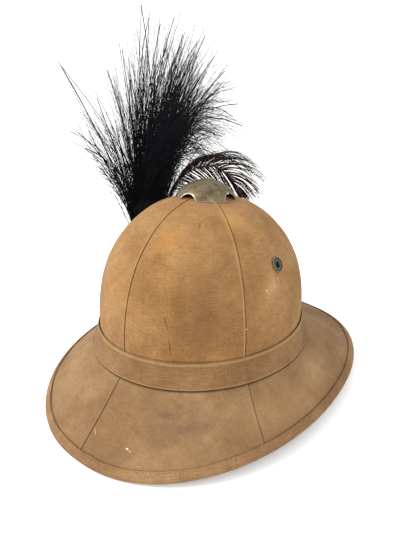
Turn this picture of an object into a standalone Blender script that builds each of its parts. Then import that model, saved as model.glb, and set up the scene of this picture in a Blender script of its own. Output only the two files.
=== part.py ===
"""Pith helmet with a crown ventilator, side eyelets and a black side plume.

Metres, +Z up. The helmet stands on its brim at z = 0, with the brim's outline centred on the
origin. Its front faces -Y and the wearer's left is +X. Angles round the crown start at the front
and grow towards the wearer's left.
"""
import math

import bmesh
import bpy
from mathutils import Matrix, Vector

# Crown, over its cloth
CROWN_HALF_LENGTH = 0.1100
CROWN_HALF_WIDTH = 0.0940
CROWN_HEIGHT = 0.1180
CROWN_FULLNESS = 2.25
CROWN_AHEAD = 0.0210
CROWN_LEAN = math.radians(1.5)
VENT_HOLE_RADIUS = 0.0095

# Foot of the crown, behind the hatband
BAND_TOP_HEIGHT = 0.0660
FOOT_HEIGHT = 0.0465
FOOT_FLARE_LENGTH = 0.0066
FOOT_FLARE_WIDTH = 0.0067

# Brim
BRIM_HALF_LENGTH = 0.1880
BRIM_HALF_WIDTH = 0.1402
BRIM_SQUARENESS = 2.13
BRIM_SIDE_RISE = 0.0120
BRIM_REST_ZONE = 0.20
BRIM_RISE_POWER = 1.4
BRIM_DIP = 0.0012
PANEL_SWEEP = 0.55

# Walls and the play between layers
SHELL_WALL = 0.0030
CLOTH_WALL = 0.0010
PLAY = 0.0003
CUT_REACH = 0.0200
BINDING_WIDTH = 0.0050
BINDING_UNDER_WIDTH = 0.0060

# Panels: the seams' angles at the crown's foot
FRONT_SEAM = 0.0
SIDE_SEAM = math.radians(60)
REAR_SIDE_SEAM = math.radians(126)
BACK_SEAM = math.pi
COLUMNS_PER_PANEL = 7

# Eyelets
EYELET_ANGLE = math.radians(85.5)
EYELET_HEIGHT = 0.1350
EYELET_RADIUS = 0.0068
EYELET_HOLE_RADIUS = 0.0022
EYELET_TUBE_WALL = 0.0008
EYELET_FLANGE = 0.0012
EYELET_SIDES = 14

# Face of an eyelet's flange from its rim inwards: shares of the eyelet's radius and of the flange's height
EYELET_FACE = (
    (1.00, 0.0),
    (0.95, 0.6),
    (0.72, 1.0),
    (0.48, 0.8),
)
EYELET_LIP_HEIGHT = 0.3

# Ventilator
VENT_RADIUS = 0.0282
VENT_RISE = 0.0175
VENT_FULLNESS = 1.60
VENT_WALL = 0.0009
VENT_ARCH_WIDTH = 0.0170
VENT_ARCH_HEIGHT = 0.0072
VENT_SIDES = 32
VENT_CENTRE_SHARE = 0.06
STEM_HEAD_RADIUS = 0.0130
STEM_HEAD_THICKNESS = 0.0015

# Plume socket, on the wearer's right
SOCKET_ANGLE = math.radians(-99)
SOCKET_FOOT_HEIGHT = 0.0720
SOCKET_LENGTH = 0.0320
SOCKET_RADIUS = 0.0085
SOCKET_FLOOR = 0.0030
SOCKET_TAPER_RADIUS = 0.0068
SOCKET_TAPER_LENGTH = 0.0064
QUILL_RADIUS = 0.0026
QUILL_SPACING = 0.0082

# Plume: its tips are shares of the reach and the rise, measured from the socket's mouth
PLUME_RISE = 0.2470
PLUME_REACH = 0.1000
PLUME_CORE_RADIUS = 0.0240
PLUME_CORE_RISE = 0.1580
PLUME_CORE_IN = 0.0030
PLUME_CORE_BACK = 0.0580
PLUME_CORE_BEND = 1.35
LOCK_RADIUS = 0.0066
LOCK_PROFILE = (0.60, 0.95, 1.00, 0.75, 0.45, 0.11)
LOCK_ROOT = 0.17
LOCK_SPREAD = 0.25
LOCK_LIFT = 1.1
LOCK_SIDES = 6

# Brown feather, which shows its broad side to the front left
FEATHER_QUILL_RADIUS = 0.0013
FEATHER_REACH = 0.1000
FEATHER_FACING = math.radians(35)
FEATHER_UPPER_BARB = 0.0700
FEATHER_LOWER_BARB = 0.0240
FEATHER_BARBS = 6
FEATHER_TAPER = 0.6
BARB_SHORTENING = 0.75
BARB_CURL = 0.3
BARB_LIFT = 0.45
BARB_LIFT_ASIDE = 0.15
BARB_RADIUS = 0.0014
BARB_PROFILE = (0.8, 1.0, 0.8, 0.4)
BARB_SIDES = 5

# Rows of the surface: 0 is the apex, 1 the hatband's top, 2 the crown's foot, 3 the brim's edge
CROWN_ROWS = 8
ROW_BAND_TOP = 1.0
ROW_GORE_END = 1.42
ROW_PANEL_START = 1.50
ROW_FOOT = 2.0
ROW_EDGE = 3.0
BRIM_ROWS = (2.33, 2.67)

# Plume locks: tip outwards, backwards and upwards, how far the lock stays upright, and its thickness
PLUME_LOCKS = (
    (-0.31, 0.43, 1.00, 0.55, 0.8),
    (-0.35, 0.61, 0.98, 0.60, 0.8),
    (-0.27, 0.70, 0.95, 0.60, 1.0),
    (-0.14, 0.81, 0.97, 0.60, 1.0),
    (-0.03, 0.86, 0.92, 0.60, 1.5),
    (0.17, 0.92, 0.91, 0.60, 1.0),
    (0.18, 0.76, 0.86, 0.60, 1.4),
    (0.40, 0.79, 0.83, 0.58, 1.0),
    (0.48, 0.85, 0.76, 0.60, 1.0),
    (0.68, 0.76, 0.67, 0.62, 0.9),
    (0.81, 0.54, 0.59, 0.80, 1.0),
    (0.88, 0.60, 0.54, 0.85, 1.0),
    (0.66, 0.55, 0.52, 0.80, 0.9),
    (-0.36, 0.20, 0.84, 0.50, 0.9),
    (-0.38, 0.31, 0.73, 0.55, 1.0),
    (-0.34, -0.04, 0.75, 0.50, 0.9),
    (-0.34, -0.21, 0.65, 0.50, 0.8),
    (-0.29, -0.55, 0.51, 0.72, 0.9),
    (-0.22, -0.48, 0.46, 0.72, 0.8),
    (-0.16, -0.38, 0.39, 0.68, 0.8),
    (-0.36, -0.62, 0.77, 0.40, 0.6),
    (-0.09, -0.30, 0.19, 0.50, 0.5),
    (-0.38, 0.70, 0.62, 0.60, 1.0),
    (0.02, 1.00, 0.72, 0.60, 1.0),
    (0.05, 0.20, 0.69, 0.55, 1.1),
    (0.18, 0.40, 0.66, 0.55, 1.2),
)

# Plume core: height and radius of each ring, as shares of its rise and its radius
PLUME_CORE_RINGS = (
    (0.00, 0.17),
    (0.10, 0.32),
    (0.24, 0.74),
    (0.36, 1.00),
    (0.56, 0.96),
    (0.70, 0.50),
    (1.00, 0.14),
)

# Route of the brown feather's quill, from the socket's mouth: outwards, backwards and upwards, as
# shares of the feather's reach
FEATHER_ROUTE = (
    (0.11, 0.00, 0.20),
    (0.22, 0.05, 0.43),
    (0.29, 0.10, 0.67),
    (0.37, 0.15, 0.86),
    (0.54, 0.20, 0.97),
    (0.75, 0.24, 1.00),
    (0.92, 0.24, 0.93),
    (1.04, 0.21, 0.83),
    (1.12, 0.18, 0.75),
)

# Barbs on each side of the quill: length, share of it along the quill and aside, and the shares of the
# quill's run where the first and the last barb stand
FEATHER_SIDES = (
    ("upper", FEATHER_UPPER_BARB, 1.00, 0.10, 0.38, 0.82),
    ("lower", FEATHER_LOWER_BARB, 0.80, -0.50, 0.25, 0.70),
)


def clear_scene():
    for item in list(bpy.data.objects):
        bpy.data.objects.remove(item, do_unlink=True)


def plain_material(name, colour, roughness, metallic=0.0):
    material = bpy.data.materials.new(name)
    material.use_nodes = True
    shader = material.node_tree.nodes["Principled BSDF"]
    shader.inputs["Base Color"].default_value = (*colour, 1.0)
    shader.inputs["Roughness"].default_value = roughness
    shader.inputs["Metallic"].default_value = metallic
    material.diffuse_color = (*colour, 1.0)
    return material


def add_object(name, mesh_source, material):
    """Turn a bmesh into a named object with smooth round faces."""
    mesh = bpy.data.meshes.new(name)
    bmesh.ops.recalc_face_normals(mesh_source, faces=mesh_source.faces)
    mesh_source.to_mesh(mesh)
    mesh_source.free()
    mesh.shade_smooth()
    mesh.set_sharp_from_angle(angle=math.radians(40))
    item = bpy.data.objects.new(name, mesh)
    item.data.materials.append(material)
    bpy.context.scene.collection.objects.link(item)
    return item


def guide(item):
    """Keep an object as a cutter or a guide only."""
    item.hide_render = True
    item.display_type = "WIRE"
    return item


# The helmet's surface

def oval(angle, half_length, half_width, power):
    exponent = 2.0 / power
    side = math.sin(angle)
    ahead = math.cos(angle)
    return Vector((
        math.copysign(half_width * abs(side) ** exponent, side),
        -math.copysign(half_length * abs(ahead) ** exponent, ahead),
        0.0,
    ))


def lean(point):
    """The crown leans back a little on the resting brim."""
    return -point.y * math.tan(CROWN_LEAN)


def crown_point(angle, row):
    turn = (1.0 - row) * math.pi / 2
    share = math.cos(turn) ** (2.0 / CROWN_FULLNESS)
    point = oval(angle, CROWN_HALF_LENGTH * share, CROWN_HALF_WIDTH * share, 2.0)
    point.z = BAND_TOP_HEIGHT + CROWN_HEIGHT * math.sin(turn) ** (2.0 / CROWN_FULLNESS) + lean(point)
    point.y -= CROWN_AHEAD
    return point


def foot_point(angle):
    half_length = CROWN_HALF_LENGTH + FOOT_FLARE_LENGTH
    half_width = CROWN_HALF_WIDTH + FOOT_FLARE_WIDTH
    point = oval(angle, half_length, half_width, 2.0)
    point.z = FOOT_HEIGHT + lean(point)
    point.y -= CROWN_AHEAD
    return point


# The edge's round section holds the shell, the panels and two walls of the binding
EDGE_RADIUS = (SHELL_WALL + 3 * CLOTH_WALL + 3 * PLAY) / 2
CONTACT_HALF_ANGLE = math.radians(15)


def edge_angle(angle):
    """The panels leave the crown's foot nearly square to it, so their outer corners lie further ahead."""
    sweep = ((1.0 - math.cos(angle)) / 2) ** 2
    return angle - PANEL_SWEEP * math.sin(angle) * sweep


def edge_rise(angle):
    side = max(abs(math.sin(angle)) - BRIM_REST_ZONE, 0.0) / (1.0 - BRIM_REST_ZONE)
    return BRIM_SIDE_RISE * side ** BRIM_RISE_POWER


def edge_centre(angle):
    """Centre of the rolled edge's round section."""
    turned = edge_angle(angle)
    point = oval(turned, BRIM_HALF_LENGTH - EDGE_RADIUS, BRIM_HALF_WIDTH - EDGE_RADIUS, BRIM_SQUARENESS)
    point.z = EDGE_RADIUS * math.cos(CONTACT_HALF_ANGLE) + edge_rise(turned)
    return point


def edge_frame(angle):
    """Centre of the rolled edge, the brim's outward direction there and its upward normal."""
    centre = edge_centre(angle)
    start = foot_point(angle)
    tangent = (edge_centre(angle + 0.02) - edge_centre(angle - 0.02)).normalized()
    normal = Vector((0.0, 0.0, 1.0))
    for _ in range(2):
        run = centre + normal * (EDGE_RADIUS - PLAY - CLOTH_WALL) - start
        normal = run.cross(tangent).normalized()
    outward = tangent.cross(normal)
    return centre, outward, normal


def brim_point(angle, row):
    share = row - ROW_FOOT
    centre, _, normal = edge_frame(angle)
    start = foot_point(angle)
    end = centre + normal * (EDGE_RADIUS - PLAY - CLOTH_WALL)
    point = start.lerp(end, share)
    if share < 1.0:
        point.z -= BRIM_DIP * 16 * share ** 2 * (1.0 - share) ** 2
    return point


def surface_point(angle, row):
    """A point of the cloth's outer face."""
    if row <= ROW_BAND_TOP:
        return crown_point(angle, row)
    if row <= ROW_FOOT:
        return crown_point(angle, ROW_BAND_TOP).lerp(foot_point(angle), row - ROW_BAND_TOP)
    return brim_point(angle, row)


def layer_point(angle, row, height):
    """A point at a height over the cloth's outer face, mitred where the face turns."""
    step = 0.01
    point = surface_point(angle, row)
    around = surface_point(angle + step, row) - surface_point(angle - step, row)
    above = (point - surface_point(angle, row - step)).cross(around).normalized()
    below = (surface_point(angle, row + step) - point).cross(around).normalized()
    normal = (above + below).normalized()
    return point + normal * height / normal.dot(above)


def surface_normal(angle, row):
    return (layer_point(angle, row, 1.0) - surface_point(angle, row)).normalized()


def row_of_radius(radius):
    """Crown row where the crown is this wide at its side."""
    share = radius / CROWN_HALF_WIDTH
    return 1.0 - math.acos(share ** (CROWN_FULLNESS / 2)) / (math.pi / 2)


def row_of_height(height):
    """Crown row at a height over the floor, at the crown's widest place."""
    share = (height - BAND_TOP_HEIGHT) / CROWN_HEIGHT
    return 1.0 - math.asin(share ** (CROWN_FULLNESS / 2)) / (math.pi / 2)


ROW_HOLE = row_of_radius(VENT_HOLE_RADIUS)
SHELL_DEPTH = CLOTH_WALL + PLAY


def crown_rows():
    return [ROW_HOLE + (ROW_BAND_TOP - ROW_HOLE) * k / CROWN_ROWS for k in range(CROWN_ROWS + 1)]


def seam_angles():
    return (FRONT_SEAM, SIDE_SEAM, REAR_SIDE_SEAM, BACK_SEAM,
            2 * math.pi - REAR_SIDE_SEAM, 2 * math.pi - SIDE_SEAM, 2 * math.pi + FRONT_SEAM)


def ring_angles():
    seams = seam_angles()
    angles = []
    for start, end in zip(seams, seams[1:]):
        angles += [start + (end - start) * k / COLUMNS_PER_PANEL for k in range(COLUMNS_PER_PANEL)]
    return angles + [seams[-1]]


# Mesh helpers

def grid_mesh(columns, rows, place):
    """A grid of columns by rows whose vertices go where place(column, row) says."""
    sheet = bmesh.new()
    bmesh.ops.create_grid(sheet, x_segments=columns - 1, y_segments=rows - 1, size=0.5)
    for vertex in sheet.verts:
        column = round((vertex.co.x + 0.5) * (columns - 1))
        row = round((vertex.co.y + 0.5) * (rows - 1))
        vertex.co = place(column, row)
    return sheet


def closed_sweep(name, material, angles, section):
    """Sweep a closed section right round the helmet."""
    first = section(angles[0])
    count = len(first)
    loops = [section(angle) for angle in angles[:-1]]
    loops.append(first)

    def place(column, row):
        return loops[column][row % count]

    body = grid_mesh(len(angles), count + 1, place)
    bmesh.ops.remove_doubles(body, verts=body.verts, dist=1e-6)
    return add_object(name, body, material)


def solidify(item, thickness):
    modifier = item.modifiers.new("wall", "SOLIDIFY")
    modifier.thickness = thickness
    modifier.offset = -1.0
    modifier.use_even_offset = True
    modifier.use_quality_normals = True


def cut(item, cutter):
    modifier = item.modifiers.new("cut " + cutter.name, "BOOLEAN")
    modifier.operation = "DIFFERENCE"
    modifier.solver = "EXACT"
    modifier.object = cutter


def turned_mesh(profile, sides, matrix=None):
    """Spin a closed profile of (radius, height) pairs about Z."""
    body = bmesh.new()
    loop = [body.verts.new((radius, 0.0, height)) for radius, height in profile]
    edges = [body.edges.new((a, b)) for a, b in zip(loop, loop[1:] + loop[:1])]
    bmesh.ops.spin(body, geom=loop + edges, axis=(0, 0, 1), cent=(0, 0, 0), steps=sides,
                   angle=2 * math.pi, use_merge=True)
    bmesh.ops.remove_doubles(body, verts=body.verts, dist=1e-6)
    if matrix is not None:
        bmesh.ops.transform(body, matrix=matrix, verts=body.verts)
    return body


def solid_of_revolution(profile, sides, matrix=None):
    """Spin an open profile that starts and ends on the axis."""
    body = bmesh.new()
    points = [body.verts.new((radius, 0.0, height)) for radius, height in profile]
    edges = [body.edges.new(pair) for pair in zip(points, points[1:])]
    bmesh.ops.spin(body, geom=points + edges, axis=(0, 0, 1), cent=(0, 0, 0), steps=sides,
                   angle=2 * math.pi, use_merge=True)
    bmesh.ops.remove_doubles(body, verts=body.verts, dist=1e-6)
    if matrix is not None:
        bmesh.ops.transform(body, matrix=matrix, verts=body.verts)
    return body


def frame_matrix(origin, axis):
    """Matrix that takes Z to an axis through an origin."""
    turn = axis.to_track_quat("Z", "Y").to_matrix().to_4x4()
    return Matrix.Translation(origin) @ turn


# The shell and its cloth

def make_shell(material):
    angles = ring_angles()
    rows = crown_rows() + [ROW_FOOT, *BRIM_ROWS, ROW_EDGE]

    def place(column, row):
        angle = angles[column % (len(angles) - 1)]
        return layer_point(angle, rows[row], -SHELL_DEPTH)

    sheet = grid_mesh(len(angles), len(rows), place)
    bmesh.ops.remove_doubles(sheet, verts=sheet.verts, dist=1e-6)
    shell = add_object("shell", sheet, material)
    face_outwards(shell)
    solidify(shell, SHELL_WALL)
    return shell


def face_outwards(item):
    """Turn an open sheet's faces away from the crown's middle."""
    centre = Vector((0.0, -CROWN_AHEAD, -CROWN_HEIGHT))
    face = item.data.polygons[0]
    if face.normal.dot(face.center - centre) < 0:
        item.data.flip_normals()


def make_panel(name, material, start, end, rows):
    """One sewn panel of cloth between two seams."""
    last = COLUMNS_PER_PANEL

    def place(column, row):
        level = rows[row]
        radius = (surface_point(start, level) + Vector((0.0, CROWN_AHEAD, 0.0))).xy.length
        inset = PLAY / 2 / radius
        angle = start + inset + (end - start - 2 * inset) * column / last
        return layer_point(angle, level, 0.0)

    panel = add_object(name, grid_mesh(last + 1, len(rows), place), material)
    face_outwards(panel)
    solidify(panel, CLOTH_WALL)
    return panel


def make_cloth(material):
    gore_rows = crown_rows() + [ROW_GORE_END]
    panel_rows = [ROW_PANEL_START, ROW_FOOT, *BRIM_ROWS, ROW_EDGE]
    seams = seam_angles()
    gores = []
    for number, (start, end) in enumerate(zip(seams, seams[1:]), start=1):
        gores.append(make_panel(f"crown_gore_{number}", material, start, end, gore_rows))
        make_panel(f"brim_panel_{number}", material, start, end, panel_rows)
    return gores


def make_hatband(material):
    flare = math.hypot(FOOT_FLARE_WIDTH, BAND_TOP_HEIGHT - FOOT_HEIGHT)
    row_end = ROW_FOOT - 2 * PLAY / flare
    inner = PLAY
    outer = PLAY + CLOTH_WALL
    levels = ((ROW_BAND_TOP, inner), (ROW_BAND_TOP, outer), (row_end, outer), (row_end, inner))

    def section(angle):
        return [layer_point(angle, row, height) for row, height in levels]

    return closed_sweep("hatband", material, ring_angles(), section)


def make_binding(material):
    """The cloth strip folded round the brim's edge, with a level facet where it rests."""
    inner_radius = EDGE_RADIUS - CLOTH_WALL
    over = PLAY + CLOTH_WALL
    under = -(SHELL_DEPTH + SHELL_WALL + PLAY)

    def section(angle):
        centre, outward, _ = edge_frame(angle)
        across = Vector((outward.x, outward.y, 0.0)).normalized()
        width = (centre - foot_point(angle)).length
        upper_row = ROW_EDGE - BINDING_WIDTH / width
        under_row = ROW_EDGE - BINDING_UNDER_WIDTH / width

        def on_arc(radius, turn):
            return centre + (across * math.cos(turn) + Vector((0, 0, 1)) * math.sin(turn)) * radius

        top = math.pi / 2 - math.asin(-outward.z)
        low = -math.pi / 2 + CONTACT_HALF_ANGLE
        outer_turns = [top + (low - top) * k / 3 for k in range(1, 4)] + [-math.pi / 2 - CONTACT_HALF_ANGLE]
        inner_turns = [top - math.pi * 2 / 3, top - math.pi / 3]
        points = [layer_point(angle, upper_row, over), layer_point(angle, ROW_EDGE, over)]
        points += [on_arc(EDGE_RADIUS, turn) for turn in outer_turns]
        points += [layer_point(angle, row, under - CLOTH_WALL) for row in (ROW_EDGE, under_row)]
        points += [layer_point(angle, under_row, under), layer_point(angle, ROW_EDGE, under)]
        points += [on_arc(inner_radius, turn) for turn in inner_turns]
        points += [layer_point(angle, ROW_EDGE, PLAY), layer_point(angle, upper_row, PLAY)]
        return points

    return closed_sweep("brim_binding", material, ring_angles(), section)


# Metal fittings

def make_eyelets(material, shell, gores):
    """A flanged tube through the wall on each side."""
    tube = EYELET_HOLE_RADIUS + EYELET_TUBE_WALL
    bore_radius = tube + PLAY
    depth = SHELL_DEPTH + SHELL_WALL + PLAY
    row = row_of_height(EYELET_HEIGHT)
    face = [(EYELET_RADIUS * share, PLAY + EYELET_FLANGE * rise) for share, rise in EYELET_FACE]
    lip = (EYELET_HOLE_RADIUS, PLAY + EYELET_FLANGE * EYELET_LIP_HEIGHT)
    profile = [(EYELET_HOLE_RADIUS, -depth), (tube, -depth), (tube, PLAY), *face, lip]
    for name, angle in (("eyelet_left", EYELET_ANGLE), ("eyelet_right", -EYELET_ANGLE)):
        axis = surface_normal(angle, row)
        matrix = frame_matrix(surface_point(angle, row), axis)
        add_object(name, turned_mesh(profile, EYELET_SIDES, matrix), material)
        bore = ((0.0, -CUT_REACH), (bore_radius, -CUT_REACH), (bore_radius, CUT_REACH), (0.0, CUT_REACH))
        cutter = solid_of_revolution(bore, EYELET_SIDES, matrix)
        cutter = guide(add_object(name + "_bore", cutter, material))
        cut(shell, cutter)
        cut(gores[1 if angle > 0 else 4], cutter)


def crown_height(x, y):
    """Height of the crown's cloth over the floor near its top."""
    ahead = y + CROWN_AHEAD
    share = math.hypot(x / CROWN_HALF_WIDTH, ahead / CROWN_HALF_LENGTH) ** CROWN_FULLNESS
    rise = (1.0 - share) ** (1.0 / CROWN_FULLNESS)
    return BAND_TOP_HEIGHT + CROWN_HEIGHT * rise - ahead * math.tan(CROWN_LEAN)


def vent_height(share):
    """The cap's height over its feet, by its share of the radius."""
    return VENT_RISE * (1.0 - share ** VENT_FULLNESS) ** (1.0 / VENT_FULLNESS)


def make_ventilator(material):
    """A low domed cap on four feet, with an arch between each pair of feet."""
    turns = [math.pi / 8 * k for k in range(5)]
    shares = [math.sin(turn) ** (2.0 / VENT_FULLNESS) for turn in turns]
    shares[0] = VENT_CENTRE_SHARE
    top = crown_height(VENT_RADIUS, -CROWN_AHEAD)

    def place(column, row):
        angle = 2 * math.pi * (column % VENT_SIDES) / VENT_SIDES
        x = VENT_RADIUS * shares[row] * math.sin(angle)
        y = -VENT_RADIUS * shares[row] * math.cos(angle) - CROWN_AHEAD
        foot_x = VENT_RADIUS * math.sin(angle)
        foot_y = -VENT_RADIUS * math.cos(angle) - CROWN_AHEAD
        drop = crown_height(foot_x, foot_y) - top
        level = top + 2 * PLAY + drop * shares[row] ** 2
        return Vector((x, y, level + vent_height(min(shares[row], 1.0))))

    sheet = grid_mesh(VENT_SIDES + 1, len(shares), place)
    bmesh.ops.remove_doubles(sheet, verts=sheet.verts, dist=1e-6)
    apex = crown_height(0, -CROWN_AHEAD)
    rim = [edge for edge in sheet.edges if edge.is_boundary and edge.verts[0].co.z > apex]
    bmesh.ops.contextual_create(sheet, geom=rim)
    cap = add_object("ventilator", sheet, material)
    face_outwards(cap)
    solidify(cap, VENT_WALL)
    half = VENT_ARCH_WIDTH / 2
    reach = 2 * VENT_RADIUS
    outline = ((0.0, -reach), (half, -reach), (half, reach), (0.0, reach))
    squash = Matrix.Diagonal((1.0, 1.0, (VENT_ARCH_HEIGHT + VENT_WALL) / half, 1.0))
    lay = Matrix.Rotation(math.pi / 2, 4, "X")
    for name, turn in (("arch_across", math.pi / 2), ("arch_along", 0.0)):
        place_at = Matrix.Translation((0.0, -CROWN_AHEAD, top - VENT_WALL)) @ Matrix.Rotation(turn, 4, "Z")
        cutter = solid_of_revolution(outline, 24, place_at @ squash @ lay)
        cut(cap, guide(add_object(name, cutter, material)))
    return cap


def make_stem(material):
    """The hidden post that holds the ventilator through the crown's top."""
    lowest = crown_height(0.0, STEM_HEAD_RADIUS - CROWN_AHEAD)
    inside = lowest - SHELL_DEPTH - SHELL_WALL - 3 * PLAY
    radius = VENT_HOLE_RADIUS - 3 * PLAY
    top = crown_height(VENT_RADIUS, -CROWN_AHEAD) + vent_height(radius / VENT_RADIUS) - VENT_WALL - PLAY
    profile = (
        (0.0, inside - STEM_HEAD_THICKNESS),
        (STEM_HEAD_RADIUS, inside - STEM_HEAD_THICKNESS),
        (STEM_HEAD_RADIUS, inside),
        (radius, inside),
        (radius, top),
        (0.0, top),
    )
    place_at = Matrix.Translation((0.0, -CROWN_AHEAD, 0.0))
    return add_object("ventilator_stem", solid_of_revolution(profile, 20, place_at), material)


# Plume

def socket_frame():
    """Foot and direction of the plume socket, laid against the crown's wall."""
    low = row_of_height(SOCKET_FOOT_HEIGHT)
    high = row_of_height(SOCKET_FOOT_HEIGHT + SOCKET_LENGTH)
    away = SOCKET_RADIUS + 2 * PLAY
    foot = layer_point(SOCKET_ANGLE, low, away)
    mouth = layer_point(SOCKET_ANGLE, high, away)
    return foot, (mouth - foot).normalized()


def socket_side():
    """Direction from the plume's quill to the feather's quill, level and along the crown."""
    normal = surface_normal(SOCKET_ANGLE, row_of_height(SOCKET_FOOT_HEIGHT))
    return Vector((normal.y, -normal.x, 0.0)).normalized()


def quill_seat(side):
    """Bottom of a quill's bore in the socket."""
    foot, up = socket_frame()
    return foot + up * SOCKET_FLOOR + socket_side() * side * QUILL_SPACING / 2


def socket_mouth(side=-1.0):
    _, up = socket_frame()
    return quill_seat(side) + up * (SOCKET_LENGTH - SOCKET_FLOOR)


def make_socket(material):
    foot, up = socket_frame()
    matrix = frame_matrix(foot, up)
    profile = ((0.0, 0.0), (SOCKET_TAPER_RADIUS, 0.0), (SOCKET_RADIUS, SOCKET_TAPER_LENGTH),
               (SOCKET_RADIUS, SOCKET_LENGTH), (0.0, SOCKET_LENGTH))
    socket = add_object("plume_socket", solid_of_revolution(profile, 16, matrix), material)
    bores = (("plume_bore", -1.0, QUILL_RADIUS), ("feather_bore", 1.0, FEATHER_QUILL_RADIUS))
    for name, side, radius in bores:
        bore = ((0.0, 0.0), (radius + PLAY, 0.0), (radius + PLAY, SOCKET_LENGTH), (0.0, SOCKET_LENGTH))
        cutter = solid_of_revolution(bore, 12, frame_matrix(quill_seat(side), up))
        cut(socket, guide(add_object(name, cutter, material)))
    return socket


def tapered_tube(points, radii, sides):
    """A closed tube through points, with a radius at each of them."""
    body = bmesh.new()
    rings = []
    for index, (point, radius) in enumerate(zip(points, radii)):
        before = points[max(index - 1, 0)]
        after = points[min(index + 1, len(points) - 1)]
        matrix = frame_matrix(point, (after - before).normalized())
        ring = bmesh.ops.create_circle(body, segments=sides, radius=radius, matrix=matrix)["verts"]
        edges = [edge for edge in body.edges if edge.verts[0] in ring and edge.verts[1] in ring]
        rings.append((ring, edges))
    for (_, lower), (_, upper) in zip(rings, rings[1:]):
        bmesh.ops.bridge_loops(body, edges=lower + upper)
    for ring, _ in (rings[0], rings[-1]):
        bmesh.ops.contextual_create(body, geom=ring)
    return body


def bezier(start, lift, end, steps):
    points = []
    for index in range(steps + 1):
        share = index / steps
        points.append(start * (1 - share) ** 2 + lift * 2 * share * (1 - share) + end * share ** 2)
    return points


def fuse(item, parts):
    """Fuse locks into one body with the piece that they grow from."""
    collection = bpy.data.collections.new(item.name + "_locks")
    bpy.context.scene.collection.children.link(collection)
    for part in parts:
        bpy.context.scene.collection.objects.unlink(part)
        collection.objects.link(part)
    modifier = item.modifiers.new("fuse", "BOOLEAN")
    modifier.operation = "UNION"
    modifier.solver = "EXACT"
    modifier.operand_type = "COLLECTION"
    modifier.collection = collection


def plume_axis(share):
    """The plume's core rises from the socket and leans back."""
    return socket_mouth() + Vector((
        PLUME_CORE_IN * share,
        PLUME_CORE_BACK * share ** PLUME_CORE_BEND,
        PLUME_CORE_RISE * share,
    ))


def make_plume(material):
    """A tapered core with long locks that fan out of it, fused into one body."""
    _, up = socket_frame()
    mouth = socket_mouth()
    points = [quill_seat(-1.0) + up * PLAY, mouth + up * PLAY]
    radii = [QUILL_RADIUS, QUILL_RADIUS]
    for height, width in PLUME_CORE_RINGS:
        points.append(plume_axis(height) + up * QUILL_RADIUS)
        radii.append(width * PLUME_CORE_RADIUS)
    plume = add_object("black_plume", tapered_tube(points, radii, 12), material)
    locks = []
    start = plume_axis(LOCK_ROOT)
    for number, (out, back, rise, upright, thick) in enumerate(PLUME_LOCKS):
        tip = mouth + Vector((out * PLUME_REACH, back * PLUME_REACH, rise * PLUME_RISE))
        lift = start + Vector((out, back, 0.0)) * PLUME_REACH * LOCK_SPREAD
        lift.z = mouth.z + rise * PLUME_RISE * upright * LOCK_LIFT
        route = bezier(start, lift, tip, len(LOCK_PROFILE) - 1)
        radii = [LOCK_RADIUS * thick * width for width in LOCK_PROFILE]
        lock = tapered_tube(route, radii, LOCK_SIDES)
        locks.append(guide(add_object(f"lock_{number:02d}", lock, material)))
    fuse(plume, locks)
    return plume


def point_along(route, share):
    """Point and direction at a share of a route's stations."""
    place = min(share * (len(route) - 1), len(route) - 1.001)
    index = int(place)
    point = route[index].lerp(route[index + 1], place - index)
    before = route[max(index - 1, 0)]
    after = route[min(index + 2, len(route) - 1)]
    return point, (after - before).normalized()


def make_feather(material):
    """A curled quill with long barbs over it and short ones under it, fused into one body."""
    _, up = socket_frame()
    mouth = socket_mouth(1.0)
    route = [mouth + Vector(row) * FEATHER_REACH for row in FEATHER_ROUTE]
    points = [quill_seat(1.0) + up * PLAY, mouth + up * PLAY] + route
    radii = [FEATHER_QUILL_RADIUS * (1 - FEATHER_TAPER * k / (len(points) - 1)) for k in range(len(points))]
    feather = add_object("brown_feather", tapered_tube(points, radii, 8), material)
    facing = Vector((math.sin(FEATHER_FACING), -math.cos(FEATHER_FACING), 0.0))
    radii = [BARB_RADIUS * width for width in BARB_PROFILE]
    barbs = []
    for number in range(FEATHER_BARBS):
        share = number / (FEATHER_BARBS - 1)
        for side, length, ahead, aside, first, last in FEATHER_SIDES:
            place = first + (last - first) * share
            start, tangent = point_along(route, place)
            _, later = point_along(route, min(place + BARB_CURL, 1.0))
            broad = facing.cross(tangent).normalized()
            reach = length * (1.0 - BARB_SHORTENING * share)
            lift = start + (tangent * BARB_LIFT + broad * (aside + BARB_LIFT_ASIDE)) * reach
            tip = start + ((tangent + later).normalized() * ahead + broad * aside) * reach
            barb = tapered_tube(bezier(start, lift, tip, len(BARB_PROFILE) - 1), radii, BARB_SIDES)
            barbs.append(guide(add_object(f"{side}_barb_{number}", barb, material)))
    fuse(feather, barbs)
    return feather


def build():
    clear_scene()
    cloth = plain_material("khaki_cotton", (0.42, 0.26, 0.13), 0.9)
    cork = plain_material("pressed_cork", (0.50, 0.36, 0.22), 0.95)
    metal = plain_material("tarnished_nickel", (0.42, 0.38, 0.30), 0.45, 0.8)
    dark_metal = plain_material("blackened_brass", (0.06, 0.07, 0.07), 0.5, 0.7)
    black = plain_material("black_plumage", (0.008, 0.009, 0.010), 0.55)
    brown = plain_material("brown_plumage", (0.06, 0.035, 0.028), 0.6)
    shell = make_shell(cork)
    gores = make_cloth(cloth)
    make_hatband(cloth)
    make_binding(cloth)
    make_eyelets(dark_metal, shell, gores)
    make_ventilator(metal)
    make_stem(dark_metal)
    make_socket(dark_metal)
    make_plume(black)
    make_feather(brown)


build()
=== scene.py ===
import math
import random

import bmesh
import bpy
from mathutils import Matrix, Vector, noise


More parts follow.
